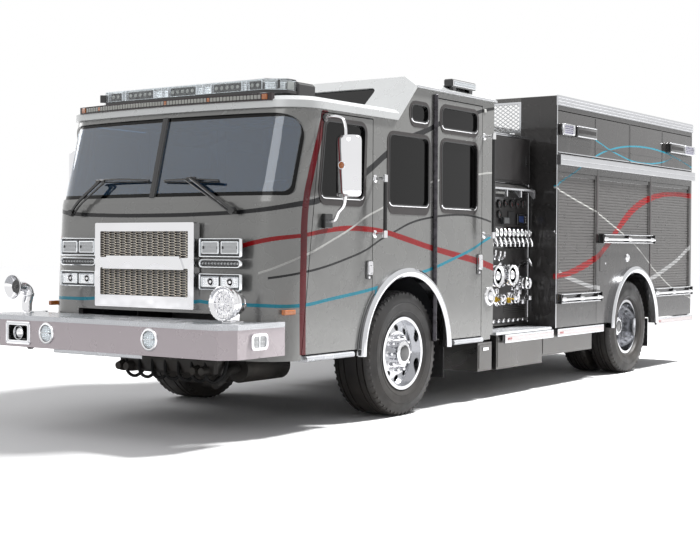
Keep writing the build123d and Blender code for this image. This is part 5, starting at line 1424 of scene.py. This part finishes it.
def make_body_trims():
    part = Part()
    # Coping with three ribs, and the ledge nosing
    for z in (2.862, 2.893, 2.924):
        part.box(1.280, 1.288, 2.762, 6.548, z - 0.006, z + 0.006, "polished_alloy", 0.003)
    for z0, z1 in ((2.250, 2.292), (2.300, 2.343)):
        part.box(1.316, 1.3205, 2.770, 6.535, z0, z1, "polished_alloy", 0.0015)
    # Rub rails: a pale insert between bright edges, with a small red lamp
    for y0, y1 in ((1.670, 2.686), (2.780, 3.900), (5.395, 6.580)):
        part.box(1.290, 1.2935, y0 + 0.006, y1 - 0.006, 0.530, 0.572, "pale_edge", 0.001)
        part.box(1.2925, 1.2955, y0 + 0.05, y0 + 0.13, 0.541, 0.560, "red_lens", 0.001)
        part.box(1.288, 1.294, y0 + 0.004, y1 - 0.004, 0.572, 0.584, "polished_alloy", 0.002)
        part.box(1.288, 1.294, y0 + 0.004, y1 - 0.004, 0.517, 0.529, "polished_alloy", 0.002)
    # Edge of the running board
    part.box(1.262, 1.268, 1.545, 2.690, 0.592, 0.616, "polished_alloy", 0.002)
    # Small door ahead of the rear wheel's arch, and seams in the side
    part.box(1.2695, 1.273, 3.83, 4.00, 1.16, 1.33, "body_paint", 0.002)
    part.lathe([(1.272, 0.012), (1.278, 0.011), (1.279, 0.002)], (0, 3.97, 1.245), "X", "chrome", steps=14)
    for y in (3.750, 5.225):
        part.box(1.2695, 1.2715, y - 0.002, y + 0.002, 0.62, 2.24, "gloss_black")
    # Round filler cap on the side over the wheel arch
    part.lathe([(1.270, 0.046), (1.282, 0.044), (1.290, 0.034), (1.290, 0.028), (1.274, 0.024)],
               (0, 4.560, 1.300), "X", "chrome", steps=28)
    part.lathe([(1.2745, 0.023), (1.288, 0.020), (1.292, 0.004)], (0, 4.560, 1.300), "X", "chrome", steps=22)
    part.place_pair("body_trims", "chassis", "polished_alloy")

    # Lift bars: a thick bar between two thin rails on a black back, with knobs and end brackets
    part = Part()
    for y0, y1, z in ((2.782, 3.795, 0.850), (3.795, 5.250, 1.468), (5.255, 6.480, 0.850)):
        part.box(1.270, 1.284, y0, y1, z - 0.006, z + 0.092, "gloss_black", 0.003)
        for up, radius, x, material in ((0.002, 0.0075, 1.306, "lamp_bezel"),
                                        (0.036, 0.0145, 1.322, "chrome"), (0.086, 0.0060, 1.300,
                "lamp_bezel")):
            part.lathe([(y0 + 0.012, radius), (y1 - 0.012, radius)], (x, 0, z + up), "Y", material, steps=16)
        for y in (y0 + 0.012, y1 - 0.012):
            part.box(1.270, 1.328, y - 0.007, y + 0.007, z - 0.006, z + 0.092, "gloss_black", 0.003)
        for y in (y0 + 0.085, (y0 + y1) / 2, y1 - 0.085):
            part.lathe([(-0.030, 0.016), (-0.022, 0.024), (0.022, 0.024), (0.030, 0.016)],
                       (1.318, y, z + 0.038), "Y", "chrome", steps=18)
            part.box(1.280, 1.312, y - 0.008, y + 0.008, z + 0.000, z + 0.086, "gloss_black", 0.003)
    part.place_both("lift_bars", "chassis", "chrome", "lift_bars")

    part = Part()
    for x0, x1, y0, y1, z0, z1 in ((0.760, 1.240, 1.240, 1.500, 0.274, 0.535),
                                   (0.700, 1.240, 1.590, 2.534, 0.268, 0.588),
                                   (0.640, 1.220, 2.564, 3.747, 0.330, 0.585)):
        part.box(x1, x1 + 0.006, y0 + 0.02, y1 - 0.02, z0 + 0.02, z1 - 0.02, "stainless", 0.003)
        part.box(x1 + 0.006, x1 + 0.014, (y0 + y1) / 2 - 0.05, (y0 + y1) / 2 + 0.05, z1 - 0.075, z1 - 0.045,
                 "chrome", 0.003)
    part.place_pair("under_box_doors", "chassis", "stainless")

    # See-through screen in front of the hose bed
    part = Part()
    part.box(-0.865, 0.865, 2.776, 2.780, 2.584, 2.896, "mesh_screen")
    part.frame([(-0.868, 2.581), (0.868, 2.581), (0.868, 2.899), (-0.868, 2.899)],
               [(-0.845, 2.604), (0.845, 2.604), (0.845, 2.876), (-0.845, 2.876)], "Y", 2.768, 2.790,
               "polished_alloy")
    part.place("hose_bed_screen", "chassis", "polished_alloy")


def make_rear():
    part = Part()
    for sign in (-1, 1):
        for z, material in ((1.000, "red_lens"), (1.180, "amber_lens"), (1.360, "lamp_lens")):
            x0, x1 = sided(sign, 0.900, 1.120)
            part.frame(round_rect(x0, x1, z, z + 0.150, 0.02),
                       round_rect(x0 + 0.018, x1 - 0.018, z + 0.018, z + 0.132, 0.012), "Y", 6.5505, 6.574,
                       "chrome")
            part.prism(round_rect(x0 + 0.017, x1 - 0.017, z + 0.017, z + 0.133, 0.012), "Y", 6.566, 6.5735,
                       material)
        x0, x1 = sided(sign, 0.930, 1.150)
        part.frame(round_rect(x0, x1, 2.560, 2.700, 0.02), round_rect(x0 + 0.016, x1 - 0.016, 2.576, 2.684,
            0.012), "Y", 6.5505, 6.572, "chrome")
        part.prism(round_rect(x0 + 0.015, x1 - 0.015, 2.575, 2.685, 0.012), "Y", 6.552, 6.570, "red_lens")
        part.tube([(sign * 0.780, 6.552, 1.05), (sign * 0.780, 6.580, 1.05), (sign * 0.780, 6.580, 2.10),
                   (sign * 0.780, 6.552, 2.10)], 0.014, "black_rail", steps=12, rounds=2)
        part.box(*sided(sign, 0.660, 1.240), 6.5505, 6.556, 1.700, 2.200, "stainless", 0.003)
    part.tube([(-0.520, 6.552, 1.900), (-0.520, 6.580, 1.900), (0.520, 6.580, 1.900), (0.520, 6.552, 1.900)],
              0.014, "black_rail", steps=12, rounds=2)
    part.place("rear_lamps_and_rails", "chassis", "lamp_lens", ["tail_lamps"])


def paint_frame():
    """Give every CAD node that is still shown its material."""
    finish = {row["node"]: row["material_slot"] for row in frame["record"]["subparts"]}
    for name, piece in cad.items():
        piece.data.materials.clear()
        piece.data.materials.append(MATERIALS[finish[name]])


def pale_to(graph):
    """1 for the rays that show the background: those of the camera, and those from metal and glass."""
    seen = graph.add("ShaderNodeLightPath").outputs
    mirrored = graph.math("MAXIMUM", seen["Is Glossy Ray"], seen["Is Transmission Ray"])
    return graph.math("MAXIMUM", seen["Is Camera Ray"], mirrored)


FLOOR_HALF = 60
FLOOR_NEAR, FLOOR_FAR = 3.0, 9.0
WHITE, BLACK = (1, 1, 1, 1), (0, 0, 0, 1)
EVEN_LIGHT = (0.33, 0.33, 0.34, 1)
FLOOR_BOUNCE = (0.22, 0.22, 0.22, 1)
# name, place, diameter, watts
LAMPS = (('key', (4.8, 5.0, 13.5), 2.0, 3900.0),
         ('front', (2.0, -14.0, 7.0), 6.0, 160.0),
         ('right', (-11.0, -2.0, 8.0), 8.0, 400.0))


def make_studio():
    floor = bpy.data.meshes.new("floor")
    corners = [(a * FLOOR_HALF, b * FLOOR_HALF, 0) for a, b in ((-1, -1), (1, -1), (1, 1), (-1, 1))]
    floor.from_pydata(corners, [], [(0, 1, 2, 3)])
    floor_object = add_object("floor", floor)
    graph, shader = new_material("floor")
    shown = pale_to(graph)
    worn = graph.group("surface_wear", Colour=(0.93, 0.93, 0.93, 1), Scale=0.6, Contrast=0.01)
    graph.feed(shader.inputs["Base Color"], graph.mix(shown, FLOOR_BOUNCE, worn["Colour"]))
    shader.inputs["Roughness"].default_value = 0.9
    # Far from the vehicle the floor goes over into the white background
    x, y = graph.parts(graph.place())[0:2]
    square = graph.math("ADD", graph.math("POWER", x, 2.0),
                        graph.math("POWER", graph.math("MULTIPLY", y, 0.6), 2.0))
    far = graph.spread(graph.math("SQRT", square), FLOOR_NEAR, FLOOR_FAR, 0.0, 0.62)
    graph.feed(shader.inputs["Emission Color"], graph.mix(graph.math("MULTIPLY", far, shown), BLACK, WHITE))
    shader.inputs["Emission Strength"].default_value = 1.0
    floor.materials.append(MATERIALS["floor"])

    world = bpy.data.worlds.new("studio")
    bpy.context.scene.world = world
    world.use_nodes = True
    graph = Graph(world.node_tree)
    backdrop = world.node_tree.nodes["Background"]
    graph.feed(backdrop.inputs["Color"], graph.mix(pale_to(graph), EVEN_LIGHT, WHITE))
    backdrop.inputs["Strength"].default_value = 1.0

    for name, place, extent, energy in LAMPS:
        data = bpy.data.lights.new(name, "AREA")
        data.shape = "DISK"
        data.size = extent
        data.energy = energy
        lamp = add_object(name, data)
        lamp.location = place
        lamp.rotation_mode = "QUATERNION"
        lamp.rotation_quaternion = (Vector((0, 0, 1.2)) - Vector(place)).to_track_quat("-Z", "Y")
    bpy.context.scene.view_settings.view_transform = "Standard"


make_camera()
make_effects()
make_materials()
make_studio()
paint_frame()
make_wheels()
make_grille()
make_headlamps()
make_bumper_fittings()
make_underbody()
make_windshield_trims()
make_wipers()
make_lightbar()
make_marker_strip()
make_roof_boxes()
make_window_trims()
make_mirrors()
make_cab_trims()
make_pump_panel()
make_shutters()
make_hatch_trims()
make_body_trims()
make_rear()
